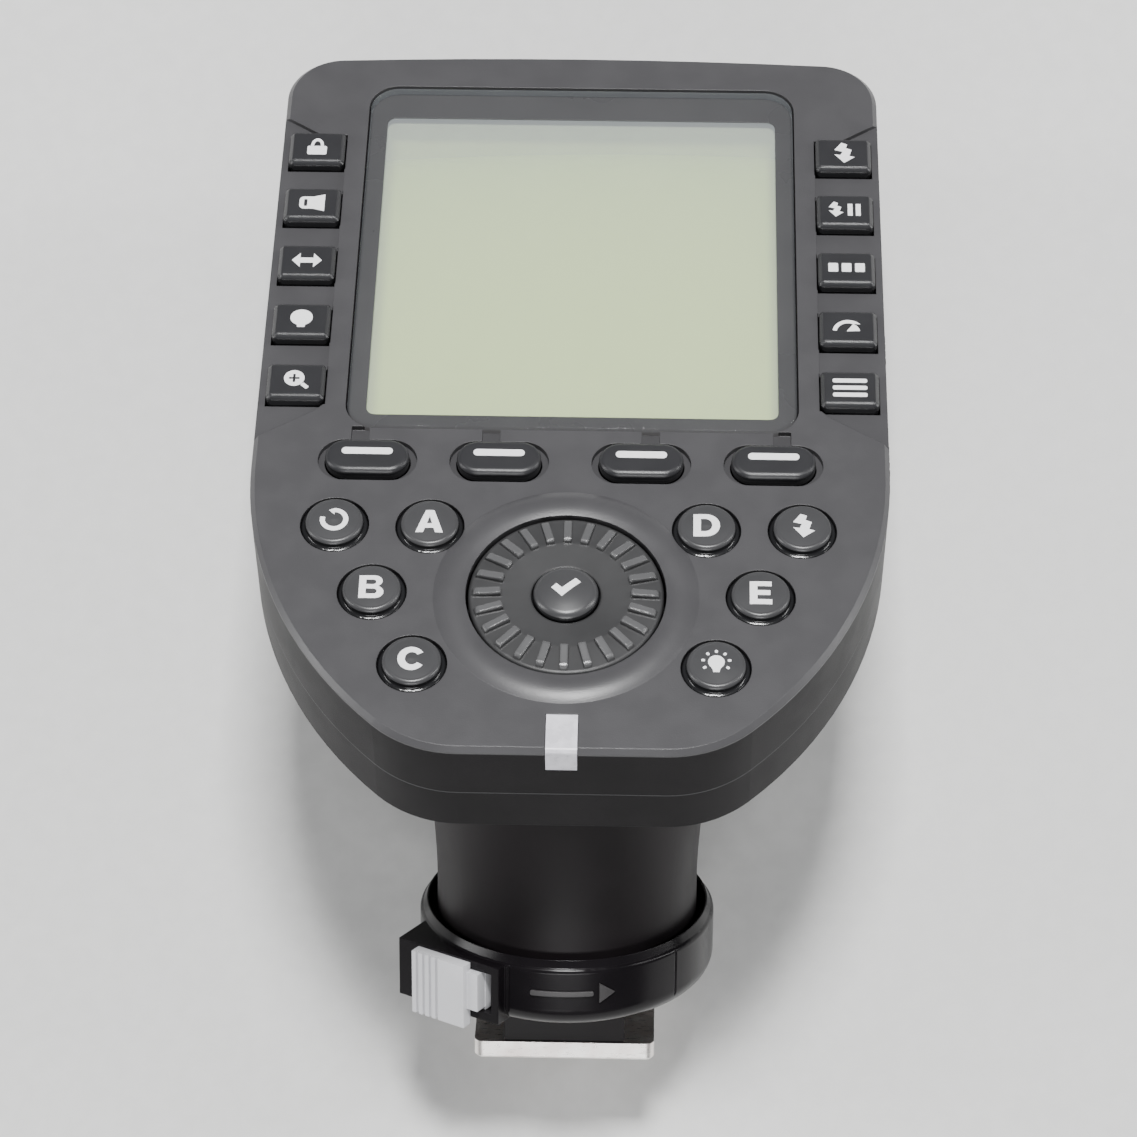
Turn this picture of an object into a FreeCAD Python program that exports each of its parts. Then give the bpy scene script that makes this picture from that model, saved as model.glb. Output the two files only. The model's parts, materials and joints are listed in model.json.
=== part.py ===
import FreeCAD, Part
import math
import os
import Sketcher

Vector = FreeCAD.Vector
Placement = FreeCAD.Placement
Rotation = FreeCAD.Rotation
X_AXIS = Vector(1, 0, 0)
Z_AXIS = Vector(0, 0, 1)

# A wireless flash trigger, lying on its back: it rests on the rear edge of its hot-shoe plate and on
# the top rear edge of its case. Millimetres throughout.
#
# Three frames are used, and each sub-part is drawn in the one that suits it:
#   face frame  origin at the dial's centre on the face, X to the right, Y up the face, Z out of it
#   foot frame  origin at the centre of the shoe plate's upper surface, Z up along the neck's axis
#   catch frame the foot frame turned about Z, so that -Y points out through the release catch

SIZES = {
    # case, in the face frame
    "half_width": (31.8, "half the width of the case"),
    "top_end": (74.3, "top end of the case"),
    "chin": (-18.5, "lower end of the case"),
    "corner_radius": (6.0, "top corners"),
    "top_crown": (0.6, "rise of the top edge at its middle"),
    "flank_radius": (42.5, "long curve of each lower flank"),
    "flank_top": (16.0, "where the flank's curve starts"),
    "chin_radius": (12.0, "curve from the flank to the chin"),
    "wall": (1.8, "wall of the case"),
    "face_thickness": (2.0, "front cover's face"),
    "seam": (7.0, "depth of the seam between the two shells"),
    "straight_wall": (12.3, "depth to which the side wall is straight"),
    "back_depth": (30.2, "depth of the back"),
    "back_half_width": (30.0, "half the width of the back"),
    "back_top": (72.0, "top end of the back"),
    "back_chin": (8.0, "lower end of the back"),
    "back_flank_radius": (36.0, "lower flanks of the back"),
    "back_flank_top": (24.0, "where the back's flanks start"),
    "edge_chamfer": (0.5, "bright chamfer around the face"),
    "back_edge_radius": (1.6, "rounding around the back"),
    # screen
    "lens_half_width": (22.85, "display window's recess"),
    "lens_bottom": (20.85, "lower edge of that recess"),
    "lens_top": (69.35, "upper edge of that recess"),
    "lens_radius": (3.2, "its corners"),
    "lens_thickness": (1.2, "display window"),
    "lens_gap": (0.15, "gap around the display window"),
    "view_half_width": (21.6, "opening behind the window"),
    "view_bottom": (21.9, "lower edge of the opening"),
    "view_top": (68.2, "upper edge of the opening"),
    "screen_front": (2.05, "depth of the display panel's front"),
    "screen_back": (3.9, "depth of its back"),
    "tray_back": (6.2, "depth of the backlight tray's back"),
    # boards
    "board_front": (6.8, "depth of the main board's front"),
    "board_back": (8.0, "depth of its back"),
    "board_inset": (3.2, "board's edge inside the case's outline"),
    "mat_inset": (3.4, "mat's edge inside the case's outline"),
    # keys
    "key_travel": (0.6, "travel of each key, down to the rubber mat"),
    "stem_foot": (5.2, "depth of the keys' stems"),
    "flange_front": (2.1, "depth of the keys' retaining flanges"),
    "flange_back": (2.9, "depth of the flanges' backs"),
    "round_hole": (3.4, "radius of a round key's hole"),
    "round_base": (3.3, "radius of a round key's base"),
    "round_cap": (2.85, "radius of a round key's cap"),
    "round_flange": (3.9, "radius of its flange"),
    "round_top": (0.85, "height of its domed top"),
    "stem_radius": (1.3, "radius of its stem"),
    "side_key_x": (28.0, "centre line of the side keys"),
    "side_key_pitch": (8.22, "spacing of the side keys"),
    "side_key_top": (59.3, "uppermost side key"),
    "side_key_width": (5.9, "side key, across the case"),
    "side_key_height": (4.8, "side key, along the case"),
    "side_key_rise": (0.75, "height of the side keys"),
    "side_gap": (0.12, "gap around a side key"),
    "side_recess": (0.5, "depth of the panels that hold the side keys"),
    "soft_key_y": (16.7, "centre line of the soft keys"),
    "soft_key_length": (8.4, "soft key, across the case"),
    "soft_key_height": (4.2, "soft key, along the case"),
    "soft_recess_length": (9.9, "dish around a soft key"),
    "soft_recess_height": (5.2, "dish around a soft key"),
    "soft_recess": (0.6, "depth of that dish"),
    # dial
    "dial_hole": (9.74, "radius of the dial's hole"),
    "dial_radius": (9.5, "radius of the dial"),
    "dial_bore": (3.35, "hole for the centre key"),
    "rib_count": (24, "ribs around the dial"),
    "rib_inner": (6.3, "where the ribs start, from the dial's axis"),
    "rib_rise": (0.8, "height of a rib's inner end over the face"),
    "rib_width": (0.75, "width of a rib"),
    "sleeve_radius": (5.6, "dial's sleeve, which turns in the encoder"),
    "encoder_bore": (5.65, "bore of the encoder"),
    "encoder_radius": (8.4, "outer radius of the encoder"),
    "lip_outer": (12.9, "foot of the raised lip around the dial"),
    "lip_height": (0.5, "height of that lip"),
    "centre_key": (3.2, "radius of the centre key"),
    # fastenings
    "boss_x_top": (26.5, "upper screw bosses"),
    "boss_y_top": (68.2, "upper screw bosses"),
    "boss_x_low": (26.0, "lower screw bosses"),
    "boss_y_low": (20.6, "lower screw bosses"),
    "boss_radius": (1.9, "front cover's bosses"),
    "post_radius": (2.3, "rear housing's posts"),
    "screw_radius": (0.98, "case screws"),
    "screw_bore": (1.0, "threaded bore of a boss"),
    "screw_seat": (12.0, "depth at which the screw heads seat"),
    "screw_clearance": (1.05, "clearance hole of a case screw"),
    # power
    "cell_radius": (7.25, "battery cell, size AA"),
    "cell_length": (50.5, "battery cell, over its terminal"),
    "cell_depth": (20.9, "depth of the cells' axes"),
    "cell_upper": (54.2, "upper cell"),
    "cell_lower": (38.8, "lower cell"),
    "bay_half_length": (27.4, "inside of the battery bay"),
    "bay_bottom": (31.2, "inside of the battery bay"),
    "bay_top": (61.8, "inside of the battery bay"),
    "bay_front": (13.5, "depth of the bay's inner face"),
    "bay_wall": (1.0, "walls of the bay"),
    "door_half_width": (28.4, "battery door"),
    "door_bottom": (29.0, "lower edge of the battery door"),
    "door_front": (28.4, "depth of the door's inner face"),
    "door_gap": (0.06, "gap around the door"),
    # sockets and switches on the right-hand wall
    "flap_bottom": (47.0, "socket cover"),
    "flap_top": (64.0, "socket cover"),
    "flap_front": (7.7, "depth of the cover's front edge"),
    "flap_back": (12.9, "depth of its rear edge"),
    "flap_proud": (0.6, "how far it stands out of the wall"),
    "flap_thickness": (1.3, "socket cover"),
    "usb_y": (52.0, "data socket"),
    "jack_y": (60.4, "sync socket"),
    "jack_depth": (10.2, "depth of the sync socket's axis"),
    "jack_bore": (1.27, "bore for a 2.5 mm plug"),
    "switch_y_power": (41.2, "power switch"),
    "switch_y_assist": (26.0, "focus-assist switch"),
    "switch_depth": (10.0, "depth of both switches"),
    "switch_travel": (2.0, "travel of both switches"),
    # neck and shoe
    "neck_tilt": (30.0, "angle between the face's normal and the neck's axis"),
    "foot_y": (-13.7, "shoe plate's centre in the face frame"),
    "foot_depth": (52.3, "shoe plate's centre in the face frame"),
    "neck_radius": (13.5, "neck at the lock ring"),
    "neck_root": (15.4, "neck where it enters the case"),
    "neck_top": (38.5, "height of the neck's inner end"),
    "neck_wall": (1.8, "wall of the neck"),
    "ring_outer": (15.3, "lock ring"),
    "ring_inner": (14.3, "mouth of the lock ring"),
    "ring_top": (12.5, "height of its upper rim"),
    "ring_bottom": (4.9, "height of its lower edge"),
    "ring_bore": (11.05, "bore of its web"),
    "hub_radius": (11.0, "hub of the foot, in that bore"),
    "web_top": (7.4, "top of the ring's web"),
    "catch_angle": (-32.0, "turn from the foot's front to the catch"),
    "catch_left": (-7.4, "left end of the catch's knob"),
    "catch_right": (-1.0, "right end of the catch's knob"),
    "catch_face": (16.2, "front of the catch's housing, from the ring's axis"),
    "catch_travel": (1.2, "travel of the release catch"),
    "plate_width": (18.6, "shoe plate across the rails, ISO 518"),
    "plate_depth": (18.0, "shoe plate along the rails"),
    "plate_thickness": (2.0, "shoe plate, ISO 518"),
    "block_half_width": (6.2, "foot between the rails, ISO 518"),
    "pin_radius": (1.0, "lock pin"),
    "pin_y": (6.3, "lock pin"),
    "lying_tilt": (19.88, "angle of the face to the table"),
}

document = FreeCAD.newDocument("flash_trigger")
sheet = document.addObject("Spreadsheet::Sheet", "Sizes")
for row, (alias, (value, meaning)) in enumerate(SIZES.items(), start=1):
    sheet.set(f"A{row}", meaning)
    sheet.set(f"B{row}", str(value))
    sheet.setAlias(f"B{row}", alias)
document.recompute()

subparts = []


def size(name):
    """A driving dimension, as a number."""
    return float(getattr(sheet, name))


# ---------------------------------------------------------------- frames

FACE = Placement(Vector(0, 0, 0), Rotation(X_AXIS, -size("lying_tilt")))
FOOT_IN_FACE = Placement(
    Vector(0, size("foot_y"), -size("foot_depth")), Rotation(X_AXIS, -size("neck_tilt"))
)
FOOT = FACE.multiply(FOOT_IN_FACE)
CATCH = FOOT.multiply(Placement(Vector(0, 0, 0), Rotation(Z_AXIS, size("catch_angle"))))


def shifted(x=0.0, y=0.0, z=0.0):
    return Placement(Vector(x, y, z), Rotation())


# ---------------------------------------------------------------- helpers


def bind(thing, prop, value):
    """Sets a size: an expression on the sheet's cells, or a plain number."""
    if isinstance(value, str):
        thing.setExpression(prop, value)
    else:
        setattr(thing, prop, value)


def cells(text):
    """Turns bare aliases such as "seam - wall" into an expression on the sheet."""
    words = text.replace("(", " ( ").replace(")", " ) ").split()
    return " ".join("Sizes." + word if word in SIZES else word for word in words)


def keep(thing, name, frame=FACE):
    """Makes an object a sub-part: its label names its file, and its frame places it."""
    thing.Label = name
    thing.Placement = frame
    subparts.append(thing)
    return thing


def new_body(name):
    return document.addObject("PartDesign::Body", name)


def origin_plane(body, role):
    return next(plane for plane in body.Origin.OriginFeatures if plane.Role == role)


def new_sketch(body, height=0.0, plane="XY_Plane"):
    """A sketch parallel to one of the body's own planes, at a height above it."""
    sketch = body.newObject("Sketcher::SketchObject", body.Name + "_sketch")
    sketch.AttachmentSupport = [(origin_plane(body, plane), "")]
    sketch.MapMode = "FlatFace"
    if isinstance(height, str):
        sketch.setExpression("AttachmentOffset.Base.z", cells(height))
    else:
        sketch.AttachmentOffset = shifted(z=height)
    return sketch


def fix(sketch, kind, geometry, point, value):
    """Fixes one coordinate or radius, bound to the sheet when the value is an expression."""
    number = value if not isinstance(value, str) else evaluate(value)
    where = (geometry,) if point is None else (geometry, point)
    index = sketch.addConstraint(Sketcher.Constraint(kind, *where, number))
    if isinstance(value, str):
        sketch.setExpression(f"Constraints[{index}]", cells(value))


def evaluate(text):
    """The value of an expression on the sheet's cells."""
    return float(sheet.evalExpression(cells(text)))


def rectangle(sketch, left, right, bottom, top):
    """A rectangle whose four sides are numbers or expressions."""
    values = [v if not isinstance(v, str) else evaluate(v) for v in (left, right, bottom, top)]
    x0, x1, y0, y1 = values
    corners = [Vector(x0, y0, 0), Vector(x1, y0, 0), Vector(x1, y1, 0), Vector(x0, y1, 0)]
    first = sketch.GeometryCount
    for index in range(4):
        sketch.addGeometry(Part.LineSegment(corners[index], corners[(index + 1) % 4]))
    for index in range(4):
        joined = first + (index + 1) % 4
        sketch.addConstraint(Sketcher.Constraint("Coincident", first + index, 2, joined, 1))
        direction = "Horizontal" if index % 2 == 0 else "Vertical"
        sketch.addConstraint(Sketcher.Constraint(direction, first + index))
    fix(sketch, "DistanceX", first, 1, left)
    fix(sketch, "DistanceY", first, 1, bottom)
    fix(sketch, "DistanceX", first + 1, 2, right)
    fix(sketch, "DistanceY", first + 1, 2, top)


def circle(sketch, x, y, radius):
    number = radius if not isinstance(radius, str) else evaluate(radius)
    centre = [v if not isinstance(v, str) else evaluate(v) for v in (x, y)]
    index = sketch.addGeometry(Part.Circle(Vector(*centre, 0), Z_AXIS, number))
    fix(sketch, "Radius", index, None, radius)
    fix(sketch, "DistanceX", index, 3, x)
    fix(sketch, "DistanceY", index, 3, y)


def arc_through(start, middle, end):
    """The sketch arc from start to end by way of middle."""
    curve = Part.Arc(start, middle, end).toShape().Curve
    angles = [math.atan2(p.y - curve.Center.y, p.x - curve.Center.x) for p in (start, end)]
    if (middle - start).cross(end - middle).z < 0:
        angles.reverse()
    if angles[1] < angles[0]:
        angles[1] += 2 * math.pi
    return Part.ArcOfCircle(Part.Circle(curve.Center, Z_AXIS, curve.Radius), *angles)


def profile(sketch, start, *moves):
    """A closed outline. A move of two numbers is a line to a point, and one of four numbers is an
    arc by way of the first point to the second."""
    here = Vector(*start, 0)
    for move in moves:
        there = Vector(*move[-2:], 0)
        if len(move) == 2:
            sketch.addGeometry(Part.LineSegment(here, there))
        else:
            sketch.addGeometry(arc_through(here, Vector(*move[:2], 0), there))
        here = there
    home = Vector(*start, 0)
    if here.distanceToPoint(home) > 1e-6:
        sketch.addGeometry(Part.LineSegment(here, home))


def pill(sketch, x, y, length, height):
    """A slot shape, lying along X."""
    radius = height / 2
    reach = length / 2 - radius
    profile(
        sketch,
        (x - reach, y - radius),
        (x + reach, y - radius),
        (x + reach + radius, y, x + reach, y + radius),
        (x - reach, y + radius),
        (x - reach - radius, y, x - reach, y - radius),
    )


def rounded_rectangle(sketch, left, right, bottom, top, radius):
    bend = radius * (1 - math.sqrt(0.5))
    profile(
        sketch,
        (left + radius, bottom),
        (right - radius, bottom),
        (right - bend, bottom + bend, right, bottom + radius),
        (right, top - radius),
        (right - bend, top - bend, right - radius, top),
        (left + radius, top),
        (left + bend, top - bend, left, top - radius),
        (left, bottom + radius),
        (left + bend, bottom + bend, left + radius, bottom),
    )


def pad(body, sketch, length, down=False):
    """Adds the sketch's shape, along the sketch's normal or, when down is set, against it."""
    feature = body.newObject("PartDesign::Pad", body.Name + "_pad")
    feature.Profile = sketch
    bind(feature, "Length", cells(length) if isinstance(length, str) else length)
    feature.Reversed = down
    return feature


def pocket(body, sketch, length, up=False):
    """Cuts the sketch's shape, against the sketch's normal or, when up is set, along it."""
    document.recompute()
    before = body.Shape.Volume
    feature = body.newObject("PartDesign::Pocket", body.Name + "_pocket")
    feature.Profile = sketch
    bind(feature, "Length", cells(length) if isinstance(length, str) else length)
    feature.Reversed = up
    document.recompute()
    if not body.Shape.Volume < before:
        raise ValueError(f"{sketch.Name} cuts nothing")
    return feature


def turn(body, sketch):
    """A full turn of the sketch's shape about the sketch's own vertical axis."""
    feature = body.newObject("PartDesign::Revolution", body.Name + "_turned")
    feature.Profile = sketch
    feature.ReferenceAxis = (sketch, ["V_Axis"])
    feature.Angle = 360
    return feature


def dome(radius, edge, top):
    """The last move of a turned section: a spherical cap from its rim to its top on the axis."""
    rise = top - edge
    sphere = (radius**2 + rise**2) / (2 * rise)
    middle = radius / 2
    return (middle, top - sphere + math.sqrt(sphere**2 - middle**2), 0, top)


def turned_body(name, start, *moves):
    """A body turned about Z from half of its section, given as radius and height."""
    body = new_body(name)
    sketch = new_sketch(body, plane="XZ_Plane")
    profile(sketch, start, *moves)
    turn(body, sketch)
    return body


def soften(body, kind, amount, test):
    """Rounds or bevels the edges whose box passes the test."""
    document.recompute()
    tip = body.Tip
    edges = enumerate(tip.Shape.Edges, start=1)
    names = [f"Edge{number}" for number, edge in edges if test(edge.BoundBox)]
    feature = body.newObject("PartDesign::" + kind, body.Name + "_" + kind.lower())
    feature.Base = (tip, names)
    prop = "Radius" if kind == "Fillet" else "Size"
    bind(feature, prop, cells(amount) if isinstance(amount, str) else amount)
    return feature


def flat_at(height):
    """A test for edges that lie at one height."""
    return lambda box: abs(box.ZMin - height) < 1e-3 and abs(box.ZMax - height) < 1e-3


def block(name, low, high):
    """A box between two corners, whose values are numbers or expressions on the sheet."""
    corner = [v if not isinstance(v, str) else evaluate(v) for v in low]
    box = document.addObject("Part::Box", name)
    for prop, start, end in zip(("Length", "Width", "Height"), low, high):
        bind(box, prop, cells(f"( {end} ) - ( {start} )"))
    box.Placement = shifted(*corner)
    return box


def rod(name, base, direction, radius, length):
    """A cylinder from a point along a direction."""
    cylinder = document.addObject("Part::Cylinder", name)
    bind(cylinder, "Radius", cells(radius) if isinstance(radius, str) else radius)
    bind(cylinder, "Height", cells(length) if isinstance(length, str) else length)
    cylinder.Placement = Placement(Vector(*base), Rotation(Z_AXIS, Vector(*direction)))
    return cylinder


def joined(name, pieces):
    fuse = document.addObject("Part::MultiFuse", name)
    fuse.Shapes = pieces
    return fuse


def grouped(name, pieces):
    group = document.addObject("Part::Compound", name)
    group.Links = pieces
    return group


def without(name, base, tools):
    """The base with every tool cut from it."""
    cut = document.addObject("Part::Cut", name)
    cut.Base = base
    cut.Tool = tools[0] if len(tools) == 1 else joined(name + "_tools", tools)
    return cut


def place(thing, frame):
    thing.Placement = frame.multiply(thing.Placement)
    return thing


# ---------------------------------------------------------------- outlines of the case


def case_outline(sketch, half_width, top, chin, corner, flank, flank_top, chin_radius):
    """The case's outline: crowned top, straight sides, long curved flanks and a short flat chin."""
    crown = size("top_crown")
    top_x = half_width - corner
    top_y = top - crown
    side_y = top_y - corner
    flank_x = half_width - flank
    chin_y = chin + chin_radius
    chin_x = flank_x + math.sqrt((flank - chin_radius) ** 2 - (flank_top - chin_y) ** 2)
    turn_over = math.atan2(chin_y - flank_top, chin_x - flank_x)
    sketch.addGeometry(arc_through(Vector(top_x, top_y, 0), Vector(0, top, 0), Vector(-top_x, top_y, 0)))
    for side in (1, -1):
        arcs = (
            (Vector(side * top_x, side_y, 0), corner, 0, math.pi / 2),
            (Vector(side * flank_x, flank_top, 0), flank, turn_over, 0),
            (Vector(side * chin_x, chin_y, 0), chin_radius, -math.pi / 2, turn_over),
        )
        for centre, radius, start, end in arcs:
            if side < 0:
                start, end = math.pi - end, math.pi - start
            sketch.addGeometry(Part.ArcOfCircle(Part.Circle(centre, Z_AXIS, radius), start, end))
        side_x = side * half_width
        sketch.addGeometry(Part.LineSegment(Vector(side_x, side_y, 0), Vector(side_x, flank_top, 0)))
    sketch.addGeometry(Part.LineSegment(Vector(-chin_x, chin, 0), Vector(chin_x, chin, 0)))


def front_outline(sketch, inset=0.0):
    case_outline(
        sketch,
        size("half_width") - inset,
        size("top_end") - inset,
        size("chin") + inset,
        size("corner_radius") - inset,
        size("flank_radius") - inset,
        size("flank_top"),
        size("chin_radius") - inset,
    )


def back_outline(sketch, inset=0.0):
    case_outline(
        sketch,
        size("back_half_width") - inset,
        size("back_top") - inset,
        size("back_chin") + inset,
        size("corner_radius") - inset,
        size("back_flank_radius") - inset,
        size("back_flank_top"),
        size("chin_radius") - inset,
    )


BOSSES = [
    (side * size("boss_x_" + level), size("boss_y_" + level))
    for level in ("top", "low")
    for side in (1, -1)
]
SIDE_KEY_ROWS = [size("side_key_top") - row * size("side_key_pitch") for row in range(5)]
SOFT_KEY_COLUMNS = (-20.22, -7.08, 7.08, 20.22)
ROUND_KEYS = {
    "mode_button": (-22.97, 8.36),
    "group_a_button": (-13.58, 8.31),
    "group_b_button": (-18.83, 0.07),
    "group_c_button": (-14.53, -8.50),
    "group_d_button": (13.58, 8.31),
    "group_e_button": (18.83, 0.07),
    "test_flash_button": (22.97, 8.36),
    "modelling_lamp_button": (14.53, -8.50),
}

# ---------------------------------------------------------------- front cover


def front_cover():
    body = new_body("front_cover")
    shell = new_sketch(body)
    front_outline(shell)
    pad(body, shell, "seam", down=True)
    soften(body, "Chamfer", "edge_chamfer", flat_at(0.0))

    inside = new_sketch(body, "- seam")
    front_outline(inside, size("wall"))
    pocket(body, inside, "seam - face_thickness", up=True)

    lip = new_sketch(body, plane="XZ_Plane")
    hole = size("dial_hole")
    outer = size("lip_outer")
    rise = size("lip_height")
    profile(
        lip,
        (hole - 0.4, -0.5),
        (hole - 0.4, 0.1),
        (hole + 1.15, rise, outer, 0.0),
        (outer, -0.5),
    )
    turn(body, lip)

    panels = new_sketch(body, 0.2)
    for side in (1, -1):
        inner = side * 25.0
        outside = side * (size("half_width") + 1)
        profile(
            panels,
            (inner, 59.9),
            (inner + side * 0.9, 60.6),
            (outside, 65.2),
            (outside, 18.7),
            (inner + side * 0.9, 23.1),
            (inner, 24.0),
        )
    pocket(body, panels, "side_recess + 0.2")

    recess = new_sketch(body)
    half = size("lens_half_width")
    rounded_rectangle(recess, -half, half, size("lens_bottom"), size("lens_top"), size("lens_radius"))
    pocket(body, recess, "lens_thickness + 0.05")
    view = new_sketch(body)
    rectangle(view, "- view_half_width", "view_half_width", "view_bottom", "view_top")
    pocket(body, view, 4.0)

    dishes = new_sketch(body)
    for x in SOFT_KEY_COLUMNS:
        pill(dishes, x, size("soft_key_y"), size("soft_recess_length"), size("soft_recess_height"))
    pocket(body, dishes, "soft_recess")
    notches = new_sketch(body)
    for x in SOFT_KEY_COLUMNS:
        notch_x = x + math.copysign(0.9, x)
        rectangle(notches, notch_x - 0.9, notch_x + 0.9, "soft_key_y + 2.4", "lens_bottom + 0.2")
    pocket(body, notches, "soft_recess")
    soft_holes = new_sketch(body)
    hole_length = size("soft_key_length") + 0.2
    hole_height = size("soft_key_height") + 0.2
    for x in SOFT_KEY_COLUMNS:
        pill(soft_holes, x, size("soft_key_y"), hole_length, hole_height)
    pocket(body, soft_holes, 4.0)

    round_holes = new_sketch(body, 2.0)
    for x, y in ROUND_KEYS.values():
        circle(round_holes, x, y, "round_hole")
    circle(round_holes, 0.0, 0.0, "dial_hole")
    pocket(body, round_holes, 6.0)

    side_holes = new_sketch(body)
    for side in (1, -1):
        for y in SIDE_KEY_ROWS:
            x = side * size("side_key_x")
            half_x = size("side_key_width") / 2 + size("side_gap")
            half_y = size("side_key_height") / 2 + size("side_gap")
            rectangle(side_holes, x - half_x, x + half_x, y - half_y, y + half_y)
    pocket(body, side_holes, 3.9)

    lamp_slot = new_sketch(body)
    rectangle(lamp_slot, -1.55, 1.55, "chin - 1", "chin + 4.35")
    pocket(body, lamp_slot, 3.05)

    bosses = new_sketch(body, "- board_back")
    for x, y in BOSSES:
        circle(bosses, x, y, "boss_radius")
    pad(body, bosses, "board_back - face_thickness + 0.5")
    bores = new_sketch(body, "- board_back")
    for x, y in BOSSES:
        circle(bores, x, y, "screw_bore")
    pocket(body, bores, "board_back - face_thickness - 0.5", up=True)
    keep(body, "front_cover")


# ---------------------------------------------------------------- rear housing and battery door


def housing_solid():
    """The outer shape of the rear housing, with nothing cut from it."""
    body = new_body("housing_outer")
    wall = new_sketch(body, "- seam")
    front_outline(wall)
    pad(body, wall, "straight_wall - seam", down=True)
    loft(body, 0.0, "straight_wall", "back_depth")
    soften(body, "Fillet", "back_edge_radius", flat_at(-size("back_depth")))
    return body


def housing_hollow():
    """The space inside the rear housing's walls."""
    body = new_body("housing_inner")
    wall = new_sketch(body, "- seam + 0.5")
    front_outline(wall, size("wall"))
    pad(body, wall, "straight_wall - seam + 0.5", down=True)
    loft(body, size("wall"), "straight_wall", "door_front")
    return body


def loft(body, inset, near, far):
    """Tapers the case's outline at one depth into the back's outline at another."""
    start = new_sketch(body, "- " + near)
    front_outline(start, inset)
    end = new_sketch(body, "- " + far)
    back_outline(end, inset)
    feature = body.newObject("PartDesign::AdditiveLoft", body.Name + "_taper")
    feature.Profile = start
    feature.Sections = [(end, [""])]
    feature.Ruled = True
    return feature


def door_space(name, gap):
    """The battery door's plate and its two tongues, grown by a gap, running out past the top end."""
    half = size("door_half_width") + gap
    bottom = size("door_bottom") - gap
    front = -size("door_front") + gap
    plate = block(name + "_plate", (-half, bottom, -40.0), (half, 90.0, front))
    tongue_high = -28.9 + gap
    tongue_low = -29.4 - gap
    reach = half + 0.55
    tongues = block(name + "_tongues", (-reach, bottom + 3.0, tongue_low), (reach, 90.0, tongue_high))
    return joined(name, [plate, tongues])


def battery_door(solid):
    door = document.addObject("Part::Common", "door_solid")
    door.Base = solid
    door.Tool = door_space("door_shape", 0.0)
    grip = [
        block(f"door_groove_{n}", (-6.0, 63.0 - 1.6 * n, -31.0), (6.0, 63.8 - 1.6 * n, -29.8))
        for n in range(5)
    ]
    keep(without("battery_door_gripped", door, grip), "battery_door")


def rear_housing(outer):
    shell = without("housing_shell", outer, [housing_hollow()])
    bay = block(
        "bay_outer",
        ("- bay_half_length - bay_wall", "bay_bottom - bay_wall", "- door_front - 0.8"),
        ("bay_half_length + bay_wall", "bay_top + bay_wall", "- bay_front + bay_wall"),
    )
    post_top = -size("board_back") - 0.1
    post_length = size("door_front") + 0.8 + post_top
    posts = [
        rod(f"post_{n}", (x, y, post_top), (0, 0, -1), "post_radius", post_length)
        for n, (x, y) in enumerate(BOSSES)
    ]
    solid = joined("housing_with_bay", [shell, bay] + posts)
    bay_space = block(
        "bay_inner",
        ("- bay_half_length", "bay_bottom", "- back_depth - 1"),
        ("bay_half_length", "bay_top", "- bay_front"),
    )
    seat = -size("screw_seat")
    heads = [
        rod(f"screw_head_hole_{n}", (x, y, seat), (0, 0, -1), 1.8, 30.0)
        for n, (x, y) in enumerate(BOSSES)
    ]
    shanks = [
        rod(f"screw_shank_hole_{n}", (x, y, post_top + 1), (0, 0, -1), "screw_clearance", 6.0)
        for n, (x, y) in enumerate(BOSSES)
    ]
    neck_hole = rod("neck_hole", (0, 0, 22.0), (0, 0, 1), "neck_root + 0.05", 26.0)
    place(neck_hole, FOOT_IN_FACE)
    wall = size("half_width")
    usb = size("usb_y")
    flap_recess = block(
        "flap_recess",
        (wall - 0.72, "flap_bottom - 0.1", "- flap_back - 0.1"),
        (wall + 2.0, "flap_top + 0.1", "- flap_front + 0.25"),
    )
    usb_hole = block("usb_hole", (wall - 3.0, usb - 4.55, -11.35), (wall + 1.0, usb + 4.55, -7.95))
    jack_hole = rod("jack_hole", (wall - 3.0, size("jack_y"), -size("jack_depth")), (1, 0, 0), 2.15, 4.0)
    slots = [
        block(
            f"switch_slot_{name}",
            (wall - 3.0, f"switch_y_{name} - 3.1", "- switch_depth - 1.15"),
            (wall + 1.0, f"switch_y_{name} + 1.1 + switch_travel", "- switch_depth + 1.15"),
        )
        for name in ("power", "assist")
    ]
    assist_window = block("assist_window_hole", (-9.1, 69.0, -22.1), (9.1, 76.0, -13.9))
    cuts = [bay_space, door_space("door_recess", size("door_gap")), neck_hole, assist_window]
    cuts += heads + shanks + [flap_recess, usb_hole, jack_hole] + slots
    keep(without("rear_housing_cut", solid, cuts), "rear_housing")


def focus_assist_window(solid):
    """The red window of the focus-assist lamp, in the top end wall."""
    window = document.addObject("Part::Common", "assist_window")
    window.Base = solid
    window.Tool = block("assist_window_block", (-9.0, 70.2, -22.0), (9.0, 76.0, -14.0))
    keep(window, "focus_assist_window")


# ---------------------------------------------------------------- display


def display_window():
    body = new_body("display_window")
    sketch = new_sketch(body, "- lens_thickness")
    gap = size("lens_gap")
    half = size("lens_half_width") - gap
    bottom = size("lens_bottom") + gap
    top = size("lens_top") - gap
    rounded_rectangle(sketch, -half, half, bottom, top, size("lens_radius") - gap)
    pad(body, sketch, "lens_thickness")
    soften(body, "Chamfer", 0.25, flat_at(0.0))
    keep(body, "display_window")


def display_panel():
    panel = block(
        "display_panel",
        ("- view_half_width - 0.7", "view_bottom - 0.6", "- screen_back"),
        ("view_half_width + 0.7", "view_top - 0.4", "- screen_front"),
    )
    keep(panel, "display_panel", FACE.multiply(panel.Placement))


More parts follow.
